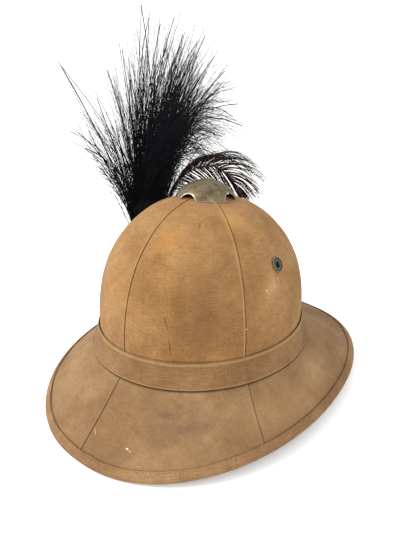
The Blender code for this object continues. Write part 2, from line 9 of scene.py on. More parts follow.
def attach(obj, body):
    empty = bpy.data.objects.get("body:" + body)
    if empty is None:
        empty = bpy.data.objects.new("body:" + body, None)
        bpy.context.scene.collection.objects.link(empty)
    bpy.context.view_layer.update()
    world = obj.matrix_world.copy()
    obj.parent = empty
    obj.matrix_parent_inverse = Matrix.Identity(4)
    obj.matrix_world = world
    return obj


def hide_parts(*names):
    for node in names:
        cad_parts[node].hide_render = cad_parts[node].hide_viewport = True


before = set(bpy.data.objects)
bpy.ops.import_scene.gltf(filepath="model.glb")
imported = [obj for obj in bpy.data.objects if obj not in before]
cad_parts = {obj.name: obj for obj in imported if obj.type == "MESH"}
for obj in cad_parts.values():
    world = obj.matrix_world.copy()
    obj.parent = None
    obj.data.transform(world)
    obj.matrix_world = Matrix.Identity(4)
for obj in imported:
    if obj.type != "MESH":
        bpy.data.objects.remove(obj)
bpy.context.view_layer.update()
MM = 0.001

# The helmet's surface, as in the solids. Row 0 is the apex, 1 the band's top, 2 the crown's foot and
# 3 the brim's edge
CROWN_HALF_LENGTH = 0.1100
CROWN_HALF_WIDTH = 0.0940
CROWN_HEIGHT = 0.1180
CROWN_FULLNESS = 2.25
CROWN_AHEAD = 0.0210
CROWN_LEAN = math.radians(1.5)
VENT_HOLE_RADIUS = 0.0095
BAND_TOP_HEIGHT = 0.0660
FOOT_HEIGHT = 0.0465
FOOT_FLARE_LENGTH = 0.0066
FOOT_FLARE_WIDTH = 0.0067
BRIM_HALF_LENGTH = 0.1880
BRIM_HALF_WIDTH = 0.1402
BRIM_SQUARENESS = 2.13
BRIM_SIDE_RISE = 0.0120
BRIM_REST_ZONE = 0.20
BRIM_RISE_POWER = 1.4
BRIM_DIP = 0.0012
PANEL_SWEEP = 0.55
SHELL_WALL = 0.0030
CLOTH_WALL = 0.0010
PLAY = 0.0003
BINDING_WIDTH = 0.0050
BINDING_UNDER_WIDTH = 0.0060
EDGE_RADIUS = (SHELL_WALL + 3 * CLOTH_WALL + 3 * PLAY) / 2
CONTACT_HALF_ANGLE = math.radians(15)
SEAMS = tuple(math.radians(turn) for turn in (0, 60, 126, 180, 234, 300))

# Size on the place map of a radian round the helmet and of a row
MAP_SIZE = 0.1

# Fittings
EYELET_ANGLE = math.radians(85.5)
EYELET_HEIGHT = 0.1350
EYELET_RADIUS = 0.0068
EYELET_HOLE_RADIUS = 0.0022
VENT_RADIUS = 0.0282
VENT_RISE = 0.0175
VENT_FULLNESS = 1.60
VENT_WALL = 0.0009
VENT_ARCH_WIDTH = 0.0170
VENT_ARCH_HEIGHT = 0.0072

# Plume and feather, as in the solids
PLUME_MOUTH = Vector((-0.0991, -0.0072, 0.1036))
FEATHER_MOUTH = Vector((-0.0980, 0.0009, 0.1036))
PLUME_RISE = 0.2470
PLUME_REACH = 0.1000
PLUME_CORE_RADIUS = 0.0240
PLUME_CORE_RISE = 0.1580
PLUME_CORE_IN = 0.0030
PLUME_CORE_BACK = 0.0580
PLUME_CORE_BEND = 1.35
FEATHER_REACH = 0.1000
FEATHER_FACING = math.radians(35)

# Locks of the plume: tip outwards, backwards and upwards, how far it stays upright, and its clumps of hair
PLUME_LOCKS = (
    (-0.31, 0.43, 1.00, 0.55, 5),
    (-0.35, 0.61, 0.98, 0.60, 4),
    (-0.27, 0.70, 0.96, 0.60, 7),
    (-0.14, 0.81, 0.98, 0.60, 6),
    (-0.03, 0.86, 0.92, 0.60, 14),
    (0.17, 0.92, 0.92, 0.60, 7),
    (0.18, 0.76, 0.88, 0.60, 15),
    (0.40, 0.79, 0.83, 0.58, 9),
    (0.48, 0.85, 0.77, 0.60, 7),
    (0.68, 0.76, 0.68, 0.85, 8),
    (0.81, 0.54, 0.59, 1.15, 8),
    (0.88, 0.60, 0.54, 1.20, 8),
    (0.66, 0.55, 0.52, 1.15, 8),
    (-0.36, 0.20, 0.84, 0.50, 6),
    (-0.38, 0.31, 0.73, 0.55, 6),
    (-0.34, -0.04, 0.75, 0.50, 6),
    (-0.34, -0.21, 0.65, 0.50, 6),
    (-0.29, -0.55, 0.51, 0.72, 4),
    (-0.22, -0.48, 0.46, 0.72, 3),
    (-0.16, -0.38, 0.39, 0.68, 2),
    (-0.35, -0.58, 0.75, 0.40, 2),
    (-0.13, -0.34, 0.33, 0.90, 2),
    (-0.38, 0.70, 0.62, 0.60, 4),
    (0.02, 1.00, 0.72, 0.60, 6),
    (0.05, 0.20, 0.69, 0.55, 4),
    (0.18, 0.40, 0.66, 0.55, 5),
    (0.34, 0.18, 0.40, 1.00, 6),
    (0.30, 0.10, 0.30, 1.00, 6),
    (0.42, 0.25, 0.46, 1.00, 5),
)
PLUME_CORE_RINGS = (
    (0.00, 0.17),
    (0.10, 0.32),
    (0.24, 0.74),
    (0.36, 1.00),
    (0.56, 0.96),
    (0.70, 0.50),
    (1.00, 0.14),
)
FEATHER_ROUTE = (
    (0.00, 0.00, 0.00),
    (0.11, 0.00, 0.20),
    (0.22, 0.05, 0.43),
    (0.29, 0.10, 0.67),
    (0.37, 0.15, 0.86),
    (0.54, 0.20, 0.97),
    (0.75, 0.24, 1.00),
    (0.92, 0.24, 0.93),
    (1.04, 0.21, 0.83),
    (1.12, 0.18, 0.75),
)

# Barbs of the feather along its quill: share of the quill's run, then for the upper and the lower side
# the barbs' length in mm and their direction at the root and at the tip, in degrees up from level
FEATHER_BARBS = (
    (0.04, 12, 125, 108, 14, 12, -4),
    (0.20, 16, 108, 78, 21, 6, -10),
    (0.33, 32, 78, 30, 22, 0, -16),
    (0.44, 47, 68, 0, 30, -14, -40),
    (0.56, 60, 60, -40, 40, -34, -56),
    (0.67, 64, 34, -52, 38, -50, -63),
    (0.72, 60, 14, -56, 34, -50, -62),
    (0.78, 48, -4, -58, 28, -54, -64),
    (0.89, 20, -34, -66, 16, -62, -74),
    (1.00, 9, -50, -66, 8, -68, -80),
)


# Surface of the cloth

def oval(angle, half_length, half_width, power):
    exponent = 2.0 / power
    side = math.sin(angle)
    ahead = math.cos(angle)
    return Vector((
        math.copysign(half_width * abs(side) ** exponent, side),
        -math.copysign(half_length * abs(ahead) ** exponent, ahead),
        0.0,
    ))


def crown_point(angle, row):
    turn = (1.0 - row) * math.pi / 2
    share = max(math.cos(turn), 0.0) ** (2.0 / CROWN_FULLNESS)
    point = oval(angle, CROWN_HALF_LENGTH * share, CROWN_HALF_WIDTH * share, 2.0)
    rise = CROWN_HEIGHT * math.copysign(abs(math.sin(turn)) ** (2.0 / CROWN_FULLNESS), turn)
    point.z = BAND_TOP_HEIGHT + rise - point.y * math.tan(CROWN_LEAN)
    point.y -= CROWN_AHEAD
    return point


def foot_point(angle):
    point = oval(angle, CROWN_HALF_LENGTH + FOOT_FLARE_LENGTH, CROWN_HALF_WIDTH + FOOT_FLARE_WIDTH, 2.0)
    point.z = FOOT_HEIGHT - point.y * math.tan(CROWN_LEAN)
    point.y -= CROWN_AHEAD
    return point


def edge_angle(angle):
    return angle - PANEL_SWEEP * math.sin(angle) * ((1.0 - math.cos(angle)) / 2) ** 2


def edge_centre(angle):
    turned = edge_angle(angle)
    point = oval(turned, BRIM_HALF_LENGTH - EDGE_RADIUS, BRIM_HALF_WIDTH - EDGE_RADIUS, BRIM_SQUARENESS)
    side = max(abs(math.sin(turned)) - BRIM_REST_ZONE, 0.0) / (1.0 - BRIM_REST_ZONE)
    point.z = EDGE_RADIUS * math.cos(CONTACT_HALF_ANGLE) + BRIM_SIDE_RISE * side ** BRIM_RISE_POWER
    return point


def edge_frame(angle):
    """Centre of the rolled edge, the brim's outward direction there and its upward normal."""
    centre = edge_centre(angle)
    start = foot_point(angle)
    tangent = (edge_centre(angle + 0.02) - edge_centre(angle - 0.02)).normalized()
    normal = Vector((0.0, 0.0, 1.0))
    for _ in range(2):
        run = centre + normal * (EDGE_RADIUS - PLAY - CLOTH_WALL) - start
        normal = run.cross(tangent).normalized()
    return centre, tangent.cross(normal), normal


def surface_point(angle, row):
    if row <= 1.0:
        return crown_point(angle, row)
    if row <= 2.0:
        return crown_point(angle, 1.0).lerp(foot_point(angle), row - 1.0)
    share = row - 2.0
    centre, _, normal = edge_frame(angle)
    point = foot_point(angle).lerp(centre + normal * (EDGE_RADIUS - PLAY - CLOTH_WALL), share)
    if share < 1.0:
        point.z -= BRIM_DIP * 16 * share ** 2 * (1.0 - share) ** 2
    return point


def layer_point(angle, row, height):
    """A point at a height over the cloth's outer face, mitred where the face turns."""
    step = 0.01
    point = surface_point(angle, row)
    around = surface_point(angle + step, row) - surface_point(angle - step, row)
    above = (point - surface_point(angle, row - step)).cross(around).normalized()
    below = (surface_point(angle, row + step) - point).cross(around).normalized()
    normal = (above + below).normalized()
    return point + normal * height / normal.dot(above)


def surface_normal(angle, row):
    return (layer_point(angle, row, 1.0) - surface_point(angle, row)).normalized()


def row_of_radius(radius):
    share = radius / CROWN_HALF_WIDTH
    return 1.0 - math.acos(share ** (CROWN_FULLNESS / 2)) / (math.pi / 2)


def row_of_height(height):
    share = (height - BAND_TOP_HEIGHT) / CROWN_HEIGHT
    return 1.0 - math.asin(share ** (CROWN_FULLNESS / 2)) / (math.pi / 2)


def crown_height(x, y):
    ahead = y + CROWN_AHEAD
    share = math.hypot(x / CROWN_HALF_WIDTH, ahead / CROWN_HALF_LENGTH) ** CROWN_FULLNESS
    rise = CROWN_HEIGHT * (1.0 - share) ** (1.0 / CROWN_FULLNESS)
    return BAND_TOP_HEIGHT + rise - ahead * math.tan(CROWN_LEAN)


def ease(value, start, end):
    """0 before start and 1 after end, smoothly between."""
    share = min(max((value - start) / (end - start), 0.0), 1.0)
    return share * share * (3.0 - 2.0 * share)


# Colours and materials

def colour(text):
    """sRGB hex to linear."""
    parts = [int(text[k:k + 2], 16) / 255 for k in (1, 3, 5)]
    linear = [part / 12.92 if part <= 0.04045 else ((part + 0.055) / 1.055) ** 2.4 for part in parts]
    return (*linear, 1.0)


def feed(tree, item, inputs):
    """Set or link a node's sockets. A node given as a value is linked by its first live output."""
    for key, value in inputs.items():
        if isinstance(value, bpy.types.Node):
            value = next(socket for socket in value.outputs if socket.enabled)
        if isinstance(value, bpy.types.NodeSocket):
            tree.links.new(value, item.inputs[key])
        else:
            item.inputs[key].default_value = value


def add(tree, kind, inputs=None, **settings):
    """Add a node with its settings, values and links."""
    item = tree.nodes.new(kind)
    for key, value in settings.items():
        setattr(item, key, value)
    feed(tree, item, inputs or {})
    return item


def new_material(name):
    material = bpy.data.materials.new(name)
    material.use_nodes = True
    tree = material.node_tree
    return material, tree, tree.nodes["Principled BSDF"]


def layered(tree, tint, layers):
    """Lay each (share, colour) over the tint before it."""
    for share, over in layers:
        tint = add(tree, "ShaderNodeMix", {0: share, 6: tint, 7: over}, data_type="RGBA")
    return tint


def clouds(tree, place, size, low, high, thin=0.0, dense=1.0, detail=3.0, rough=0.55):
    """Blotches of a real size in metres, thin below one edge of the noise and dense above the other."""
    blotches = add(tree, "ShaderNodeTexNoise", {"Vector": place, "Scale": 1.0 / size, "Detail": detail,
                                                "Roughness": rough})
    return add(tree, "ShaderNodeMapRange", {0: blotches, 1: low, 2: high, 3: thin, 4: dense},
               interpolation_type="SMOOTHSTEP")


def mark(tree, place, angle, row, wide, tall, turn, strength, ragged):
    """An oval mark on the surface's own map, full in its middle, with a ragged edge if one is given."""
    moved = add(tree, "ShaderNodeMapping", {
        "Vector": place,
        "Location": (math.radians(angle) * MAP_SIZE, row * MAP_SIZE, 0.0),
        "Rotation": (0.0, 0.0, math.radians(turn)),
        "Scale": (wide * MM, tall * MM, 1.0),
    }, vector_type="TEXTURE")
    reach = add(tree, "ShaderNodeVectorMath", {0: moved}, operation="LENGTH")
    share = add(tree, "ShaderNodeMapRange", {0: reach, 1: 1.0, 2: 0.1}, interpolation_type="SMOOTHSTEP")
    if ragged:
        share = add(tree, "ShaderNodeMath", {0: share, 1: ragged}, operation="MULTIPLY")
    return add(tree, "ShaderNodeMath", {0: share, 1: strength}, operation="MULTIPLY")


def soft_line(tree, distance, centre, half_width, strength, core=0.0):
    """A line where a distance kept on the mesh passes its centre, full in its core."""
    offset = add(tree, "ShaderNodeMath", {0: distance, 1: -centre}, operation="ADD")
    away = add(tree, "ShaderNodeMath", {0: offset}, operation="ABSOLUTE")
    return add(tree, "ShaderNodeMapRange", {0: away, 1: half_width, 2: core, 3: 0.0, 4: strength},
               interpolation_type="SMOOTHSTEP")


# Khaki cotton drill: a matt twill, brown where it is soiled, with painted light as orange tan pools and
# painted shade laid on as marks. Its yarns are 0.45 mm apart, drawn at 0.9 mm so that they show. A wave
# texture repeats at WAVE_TURN over its scale, and uneven yarns show as streaks longer than wide.
YARN = 0.0009
WAVE_TURN = 0.314
STREAK = 0.0012
STREAK_SQUEEZE = 0.12


def khaki_cotton(name, light, dark, spots=(), seam_line=0.0, seam_lit=0.0, lip_lit=0.0):
    material, tree, shader = new_material(name)
    place = add(tree, "ShaderNodeTexCoord").outputs["Object"]
    cloth = add(tree, "ShaderNodeUVMap", uv_map="cloth")
    where = add(tree, "ShaderNodeUVMap", uv_map="place")
    fold = add(tree, "ShaderNodeAttribute", attribute_name="fold").outputs["Fac"]
    seam = add(tree, "ShaderNodeAttribute", attribute_name="seam").outputs["Fac"]

    soiled = clouds(tree, place, 0.009, 0.35, 0.75, 0.0, 0.24, 5.0, 0.65)
    tint = layered(tree, colour(light), [
        (clouds(tree, place, 0.045, 0.32, 0.68), colour(dark)),
        (soiled, colour("#4D3620")),
    ])
    threads = [clouds(tree, cloth, 0.0011, 0.30, 0.70, 0.83, 1.17, 2.0)]
    for squeeze, strength in (((STREAK_SQUEEZE, 1.0, 1.0), 0.12), ((1.0, STREAK_SQUEEZE, 1.0), 0.07)):
        grain = add(tree, "ShaderNodeMapping", {"Vector": cloth, "Scale": squeeze})
        threads.append(clouds(tree, grain, STREAK, 0.30, 0.70, 1.0 - strength, 1.0 + strength))
    for uneven in threads:
        tint = add(tree, "ShaderNodeMix", {0: 1.0, 6: tint, 7: uneven}, data_type="RGBA",
                   blend_type="MULTIPLY")

    ragged = clouds(tree, place, 0.008, 0.25, 0.60, 0.40, 1.0, 4.0, 0.6)
    layers = []
    for hue, strength, angle, row, wide, tall, turn, crisp in spots:
        share = mark(tree, where, angle, row, wide, tall, turn, strength, None if crisp else ragged)
        layers.append((share, colour(hue)))
    # Painted shade as dark lines along the band's edges and the binding's inner edge; painted highlights
    # along the band's and binding's lips and beside each seam; a dark line in each seam
    layers += [
        (soft_line(tree, fold, 0.0, 0.0017, 0.80), colour("#2C1A0C")),
        (soft_line(tree, fold, 0.0024, 0.0011, lip_lit), colour("#A5875C")),
        (soft_line(tree, seam, 0.0, 0.0006, seam_line, 0.0001), colour("#2E1A0A")),
        (soft_line(tree, seam, -0.0016, 0.0011, seam_lit), colour("#A08056")),
    ]

    warp, weft = [add(tree, "ShaderNodeTexWave", {"Vector": cloth, "Scale": WAVE_TURN / YARN,
                                                  "Distortion": 0.6, "Detail": 1.0},
                      bands_direction=way).outputs["Fac"] for way in ("X", "Y")]
    weave = add(tree, "ShaderNodeMath", {0: warp, 1: weft}, operation="MULTIPLY")
    relief = add(tree, "ShaderNodeMath", {0: soiled, 1: 2.0, 2: weave}, operation="MULTIPLY_ADD")
    bump = add(tree, "ShaderNodeBump", {"Height": relief, "Strength": 0.50, "Distance": 0.0003})
    feed(tree, shader, {"Base Color": layered(tree, tint, layers), "Normal": bump})
    shader.inputs["Roughness"].default_value = 0.92
    shader.inputs["Specular IOR Level"].default_value = 0.08
    shader.inputs["Sheen Weight"].default_value = 0.03
    shader.inputs["Sheen Roughness"].default_value = 0.6
    return material


# Nickel-plated brass, spun and dulled by age: grey tan with brown and bluish patches, bright where worn
def tarnished_nickel():
    material, tree, shader = new_material("tarnished_nickel")
    place = add(tree, "ShaderNodeTexCoord").outputs["Object"]
    elsewhere = add(tree, "ShaderNodeMapping", {"Vector": place, "Location": (0.031, 0.012, 0.007)})
    worn = add(tree, "ShaderNodeAttribute", attribute_name="worn").outputs["Fac"]
    tint = layered(tree, colour("#6E6349"), [
        (clouds(tree, place, 0.012, 0.35, 0.65, detail=4.0), colour("#5A4B32")),
        (clouds(tree, place, 0.006, 0.52, 0.70, 0.0, 0.75, 5.0, 0.7), colour("#513821")),
        (clouds(tree, elsewhere, 0.008, 0.56, 0.68, 0.0, 0.8), colour("#616A6C")),
        (worn, colour("#A39D90")),
    ])
    pits = add(tree, "ShaderNodeTexNoise", {"Vector": place, "Scale": 1.0 / 0.0015, "Detail": 4.0,
                                            "Roughness": 0.55})
    bump = add(tree, "ShaderNodeBump", {"Height": pits, "Strength": 0.25, "Distance": 0.0002})
    rough = clouds(tree, place, 0.004, 0.3, 0.7, 0.38, 0.62, 4.0)
    feed(tree, shader, {"Base Color": tint, "Roughness": rough, "Normal": bump})
    shader.inputs["Metallic"].default_value = 0.85
    return material


# Blackened brass: a dark oxide skin with a slate cast, rubbed lighter on high places
def blackened_brass():
    material, tree, shader = new_material("blackened_brass")
    place = add(tree, "ShaderNodeTexCoord").outputs["Object"]
    worn = add(tree, "ShaderNodeAttribute", attribute_name="worn").outputs["Fac"]
    tint = layered(tree, colour("#141617"), [
        (clouds(tree, place, 0.003, 0.4, 0.7, detail=4.0), colour("#2B2A25")),
        (worn, colour("#6E6A58")),
    ])
    feed(tree, shader, {"Base Color": tint, "Roughness": clouds(tree, place, 0.002, 0.3, 0.7, 0.35, 0.6)})
    shader.inputs["Metallic"].default_value = 0.7
    return material


# Pressed cork: brown grains about 3 mm across, bound and sanded, dry and matt
def pressed_cork():
    material, tree, shader = new_material("pressed_cork")
    place = add(tree, "ShaderNodeTexCoord").outputs["Object"]
    grains = add(tree, "ShaderNodeTexVoronoi", {"Vector": place, "Scale": 1.0 / 0.0032}).outputs
    tint = layered(tree, colour("#5A3E22"), [
        (add(tree, "ShaderNodeSeparateColor", {0: grains["Color"]}), colour("#7D5F3D")),
        (clouds(tree, place, 0.03, 0.4, 0.7, 0.0, 0.4), colour("#472E18")),
    ])
    bump = add(tree, "ShaderNodeBump", {"Height": grains["Distance"], "Strength": 0.3, "Distance": 0.0004})
    feed(tree, shader, {"Base Color": tint, "Normal": bump})
    shader.inputs["Roughness"].default_value = 0.95
    return material


# Feather barbs: keratin threads, near black or dark brown, with a faint silky sheen along them and paler
# painted highlight patches
def plumage(name, dark, highlight, size):
    material, tree, shader = new_material(name)
    place = add(tree, "ShaderNodeTexCoord").outputs["Object"]
    patches = clouds(tree, place, size, 0.42, 0.72, detail=3.0, rough=0.6)
    feed(tree, shader, {"Base Color": layered(tree, colour(dark), [(patches, colour(highlight))])})
    shader.inputs["Roughness"].default_value = 0.7
    shader.inputs["Specular IOR Level"].default_value = 0.05
    return material


# Mesh helpers

def finish_piece(name, source, material, slot, smooth=40):
    """Turn a bmesh into a piece that rides on the helmet."""
    mesh = bpy.data.meshes.new(name)
    source.to_mesh(mesh)
    source.free()
    return place_piece(name, mesh, material, slot, smooth)


def place_piece(name, mesh, material, slot, smooth=40):
    """Give a mesh its material and let it ride on the helmet; smooth is the sharp edges' angle. The slot is
    not used.
    """
    mesh.shade_smooth()
    if smooth:
        mesh.set_sharp_from_angle(angle=math.radians(smooth))
    piece = bpy.data.objects.new(name, mesh)
    mesh.materials.clear()
    mesh.materials.append(material)
    bpy.context.scene.collection.objects.link(piece)
    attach(piece, "root")
    return piece


def baked(piece):
    """A mesh with the piece's modifiers applied."""
    graph = bpy.context.evaluated_depsgraph_get()
    return bpy.data.meshes.new_from_object(piece.evaluated_get(graph))


def modifier(piece, kind, **settings):
    item = piece.modifiers.new(kind.lower(), kind)
    for key, value in settings.items():
        setattr(item, key, value)
    return item


def turned(profile, sides, matrix):
    """Spin an open profile of (radius, height) pairs about Z."""
    body = bmesh.new()
    points = [body.verts.new((radius, 0.0, height)) for radius, height in profile]
    edges = [body.edges.new(pair) for pair in zip(points, points[1:])]
    bmesh.ops.spin(body, geom=points + edges, axis=(0, 0, 1), cent=(0, 0, 0), steps=sides,
                   angle=2 * math.pi, use_merge=True)
    bmesh.ops.remove_doubles(body, verts=body.verts, dist=1e-6)
    bmesh.ops.recalc_face_normals(body, faces=body.faces)
    bmesh.ops.transform(body, matrix=matrix, verts=body.verts)
    return body


def frame_matrix(origin, axis):
    """A place whose Z runs along an axis."""
    return Matrix.Translation(origin) @ axis.to_track_quat("Z", "Y").to_matrix().to_4x4()


# Cloth pieces

# Width of the doubled strip beside each seam, by the seam's angle in degrees
FELLS = {0: 1.0 * MM, 60: 2.8 * MM, 126: 2.8 * MM, 180: 1.6 * MM, 234: 2.8 * MM, 300: 2.8 * MM}
BELOW_THE_CROWN = Vector((0.0, -CROWN_AHEAD, -0.2))


def seam_offset(angle):
    """Signed angle from the nearest seam."""
    offsets = [(angle - seam + math.pi) % (2 * math.pi) - math.pi for seam in SEAMS]
    return min(offsets, key=abs)


# Columns of the cloth's grid beside each seam, closest at its groove, and evenly between two seams
SEAM_OFFSETS = [MM * k for k in (-4.4, -3.6, -3.2, -2.8, -1.9, -1.0, -0.5, -0.25, 0.0, 0.25, 0.5, 1.1, 2.2)]
SEAM_GATHER_RADIUS = 0.045
SEAM_MARGIN = math.radians(7.5)
SEAM_REACH = 6 * MM
PLAIN_COLUMNS = 12
GROOVE_DEPTH = 0.55 * MM
GROOVE_HALF_WIDTH = 0.45 * MM
FELL_HEIGHT = 0.42 * MM
FELL_EDGE = 0.7 * MM

# Distances kept on the meshes for the cloth's painted shade lines and highlights, and the scales of its maps
FAR_FROM_FOLD = 0.01
FAR_FROM_SEAM = 1.0
BAND_LINE = 0.4 * MM
BINDING_LINE = 0.5 * MM
MAP_ROW = 0.18
MAP_GORE_SHIFT = 0.3
MAP_SWEEP_RADIUS = 0.13

BROAD_RIPPLE = 0.05
FINE_RIPPLE = 0.016
FINE_RIPPLE_SHARE = 0.25


def cloth_columns():
    """Columns as (angle, distance from a seam), closer together at the seams."""
    columns = []
    for seam, following in zip(SEAMS, SEAMS[1:] + (2 * math.pi,)):
        columns += [(seam, offset) for offset in SEAM_OFFSETS]
        first, last = seam + SEAM_MARGIN, following - SEAM_MARGIN
        columns += [(first + (last - first) * k / PLAIN_COLUMNS, None) for k in range(PLAIN_COLUMNS + 1)]
    return columns + [columns[0]]


def seam_relief(distance, fell):
    """Height of a felled seam: a groove at the join and a doubled strip beside it."""
    groove = -GROOVE_DEPTH * math.exp(-(distance / GROOVE_HALF_WIDTH) ** 2)
    strip = FELL_HEIGHT * ease(distance, -fell - FELL_EDGE, -fell) * (1.0 - ease(distance, -FELL_EDGE, 0.0))
    return groove + strip


def ripple(point, size, depth):
    """A soft unevenness of the cloth, up and down by about its depth."""
    return noise.noise(point / size) * depth


def make_cloth(name, rows, material, slot, replaced, fold_distance, ripple_depth, holes=()):
    """A cloth sheet over all its gores, with felled seams, soft ripples and a thin wall."""
    columns = cloth_columns()
    sheet = bmesh.new()
    bmesh.ops.create_grid(sheet, x_segments=len(columns) - 1, y_segments=len(rows) - 1, size=0.5)
    seam_layer = sheet.verts.layers.float.new("seam")
    fold_layer = sheet.verts.layers.float.new("fold")
    cloth_map = sheet.loops.layers.uv.new("cloth")
    place_map = sheet.loops.layers.uv.new("place")
    stations = {}
    for vertex in sheet.verts:
        column = round((vertex.co.x + 0.5) * (len(columns) - 1))
        row = rows[round((vertex.co.y + 0.5) * (len(rows) - 1))]
        base, offset = columns[column]
        flat = surface_point(base, row) + Vector((0.0, CROWN_AHEAD, 0.0))
        radius = flat.xy.length
        turn = base if offset is None else base + offset * min(1.0, radius / SEAM_GATHER_RADIUS) / radius
        distance = seam_offset(turn) * radius
        nearest = round(math.degrees((turn - seam_offset(turn)) % (2 * math.pi))) % 360
        height = seam_relief(distance, FELLS[nearest]) if abs(distance) < SEAM_REACH else 0.0
        point = surface_point(turn, row)
        height += ripple(point, BROAD_RIPPLE, ripple_depth)
        height += ripple(point, FINE_RIPPLE, ripple_depth * FINE_RIPPLE_SHARE)
        vertex.co = layer_point(turn, row, height)
        vertex[seam_layer] = distance
        vertex[fold_layer] = fold_distance(turn, row)
        unwound = turn + (2 * math.pi if column == len(columns) - 1 else 0.0)
        stations[vertex] = (unwound, row, radius)
    for face in sheet.faces:
        middle = sum(stations[vertex][0] for vertex in face.verts) / len(face.verts)
        gore = sum(1 for seam in SEAMS if seam <= middle % (2 * math.pi)) - 1
        centre = (SEAMS[gore] + (SEAMS + (2 * math.pi,))[gore + 1]) / 2
        for loop in face.loops:
            turn, row, radius = stations[loop.vert]
            loop[cloth_map].uv = ((turn - centre) * radius + gore * MAP_GORE_SHIFT, row * MAP_ROW)
            loop[place_map].uv = (turn * MAP_SIZE, row * MAP_SIZE)
    bmesh.ops.remove_doubles(sheet, verts=sheet.verts, dist=1e-6)
    pierced = [face for face in sheet.faces
               if any((face.calc_center_median() - hole).length < EYELET_RADIUS / 2 for hole in holes)]
    bmesh.ops.delete(sheet, geom=pierced, context="FACES")
    bmesh.ops.recalc_face_normals(sheet, faces=sheet.faces)
    face = max(sheet.faces, key=lambda item: item.calc_area())
    if face.normal.dot(face.calc_center_median() - BELOW_THE_CROWN) < 0:
        bmesh.ops.reverse_faces(sheet, faces=sheet.faces)
    piece = finish_piece(name, sheet, material, slot, smooth=None)
    modifier(piece, "SOLIDIFY", thickness=CLOTH_WALL * 0.9, offset=-1.0, use_even_offset=True)
    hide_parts(*replaced)
    return piece


def crown_fold(turn, row):
    """Distance from the band's top, for the painted shade line above the band."""
    return (crown_point(turn, min(row, 1.0)) - crown_point(turn, 1.0)).length


def brim_fold(turn, row):
    """Distance from the band's foot or from the binding, for the painted shade line beside each, fainter at
    the binding.
    """
    width = (surface_point(turn, 3.0) - foot_point(turn)).length
    inner = max((row - 2.0) * width - BAND_LINE, 0.0)
    outer = abs((3.0 - row) * width - BINDING_WIDTH)
    return min(inner, outer + BINDING_LINE)


def sweep(name, columns, section, folds, material, slot, replaced, smooth=50):
    """Sweep a closed section right round the helmet, with maps along and across it."""
    first = section(columns[0])
    count = len(first)
    body = bmesh.new()
    bmesh.ops.create_grid(body, x_segments=len(columns) - 1, y_segments=count, size=0.5)
    fold_layer = body.verts.layers.float.new("fold")
    seam_layer = body.verts.layers.float.new("seam")
    cloth_map = body.loops.layers.uv.new("cloth")
    place_map = body.loops.layers.uv.new("place")
    loops = [section(turn) for turn in columns[:-1]] + [first]
    stations = {}
    for vertex in body.verts:
        column = round((vertex.co.x + 0.5) * (len(columns) - 1))
        level = round((vertex.co.y + 0.5) * count)
        vertex.co = loops[column][level % count]
        vertex[fold_layer] = folds[level % count]
        vertex[seam_layer] = FAR_FROM_SEAM
        stations[vertex] = (columns[column], level)
    across = [0.0]
    for here, there in zip(first, first[1:] + first[:1]):
        across.append(across[-1] + (there - here).length)
    for face in body.faces:
        for loop in face.loops:
            turn, level = stations[loop.vert]
            loop[cloth_map].uv = (turn * MAP_SWEEP_RADIUS, across[level])
            loop[place_map].uv = (turn * MAP_SIZE, across[level])
    bmesh.ops.remove_doubles(body, verts=body.verts, dist=1e-6)
    bmesh.ops.recalc_face_normals(body, faces=body.faces)
    piece = finish_piece(name, body, material, slot, smooth)
    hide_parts(*replaced)
    return piece


def even_turns(count):
    """Angles right round the helmet, with the first again at the end."""
    return [2 * math.pi * k / count for k in range(count + 1)]


def make_band(material):
    """The plain band, with a folded lip along its top and a turned edge at its foot."""
    inner = PLAY * 0.5
    outer = PLAY + CLOTH_WALL
    # Row on the crown's foot, height over the cloth, and distance from the nearest fold for the painted
    # shade and highlights
    profile = (
        (1.000, inner, 0.0),
        (0.992, inner + 0.3 * MM, 0.6 * MM),
        (0.990, outer * 0.75, 1.2 * MM),
        (0.997, outer + 0.25 * MM, 2.2 * MM),
        (1.030, outer + 0.45 * MM, 3.0 * MM),
        (1.100, outer + 0.35 * MM, 5.0 * MM),
        (1.160, outer, FAR_FROM_FOLD),
        (1.350, outer - 0.05 * MM, FAR_FROM_FOLD),
        (1.600, outer, FAR_FROM_FOLD),
        (1.800, outer + 0.1 * MM, FAR_FROM_FOLD),
        (1.910, outer + 0.3 * MM, 2.4 * MM),
        (1.955, outer + 0.1 * MM, 1.8 * MM),
        (1.975, outer * 0.6, 0.4 * MM),
        (1.975, inner, 0.0),
        (1.600, inner, 0.0),
        (1.300, inner, 0.0),
    )

    def section(turn):
        points = []
        for row, height, _ in profile:
            point = surface_point(turn, row)
            wave = ripple(point, 0.03, 0.35 * MM) if height > outer * 0.7 else 0.0
            points.append(layer_point(turn, row, height + wave))
        return points

    return sweep("band_cloth", even_turns(260), section, [fold for _, _, fold in profile],
                 material, "band_cloth", ("hatband",))


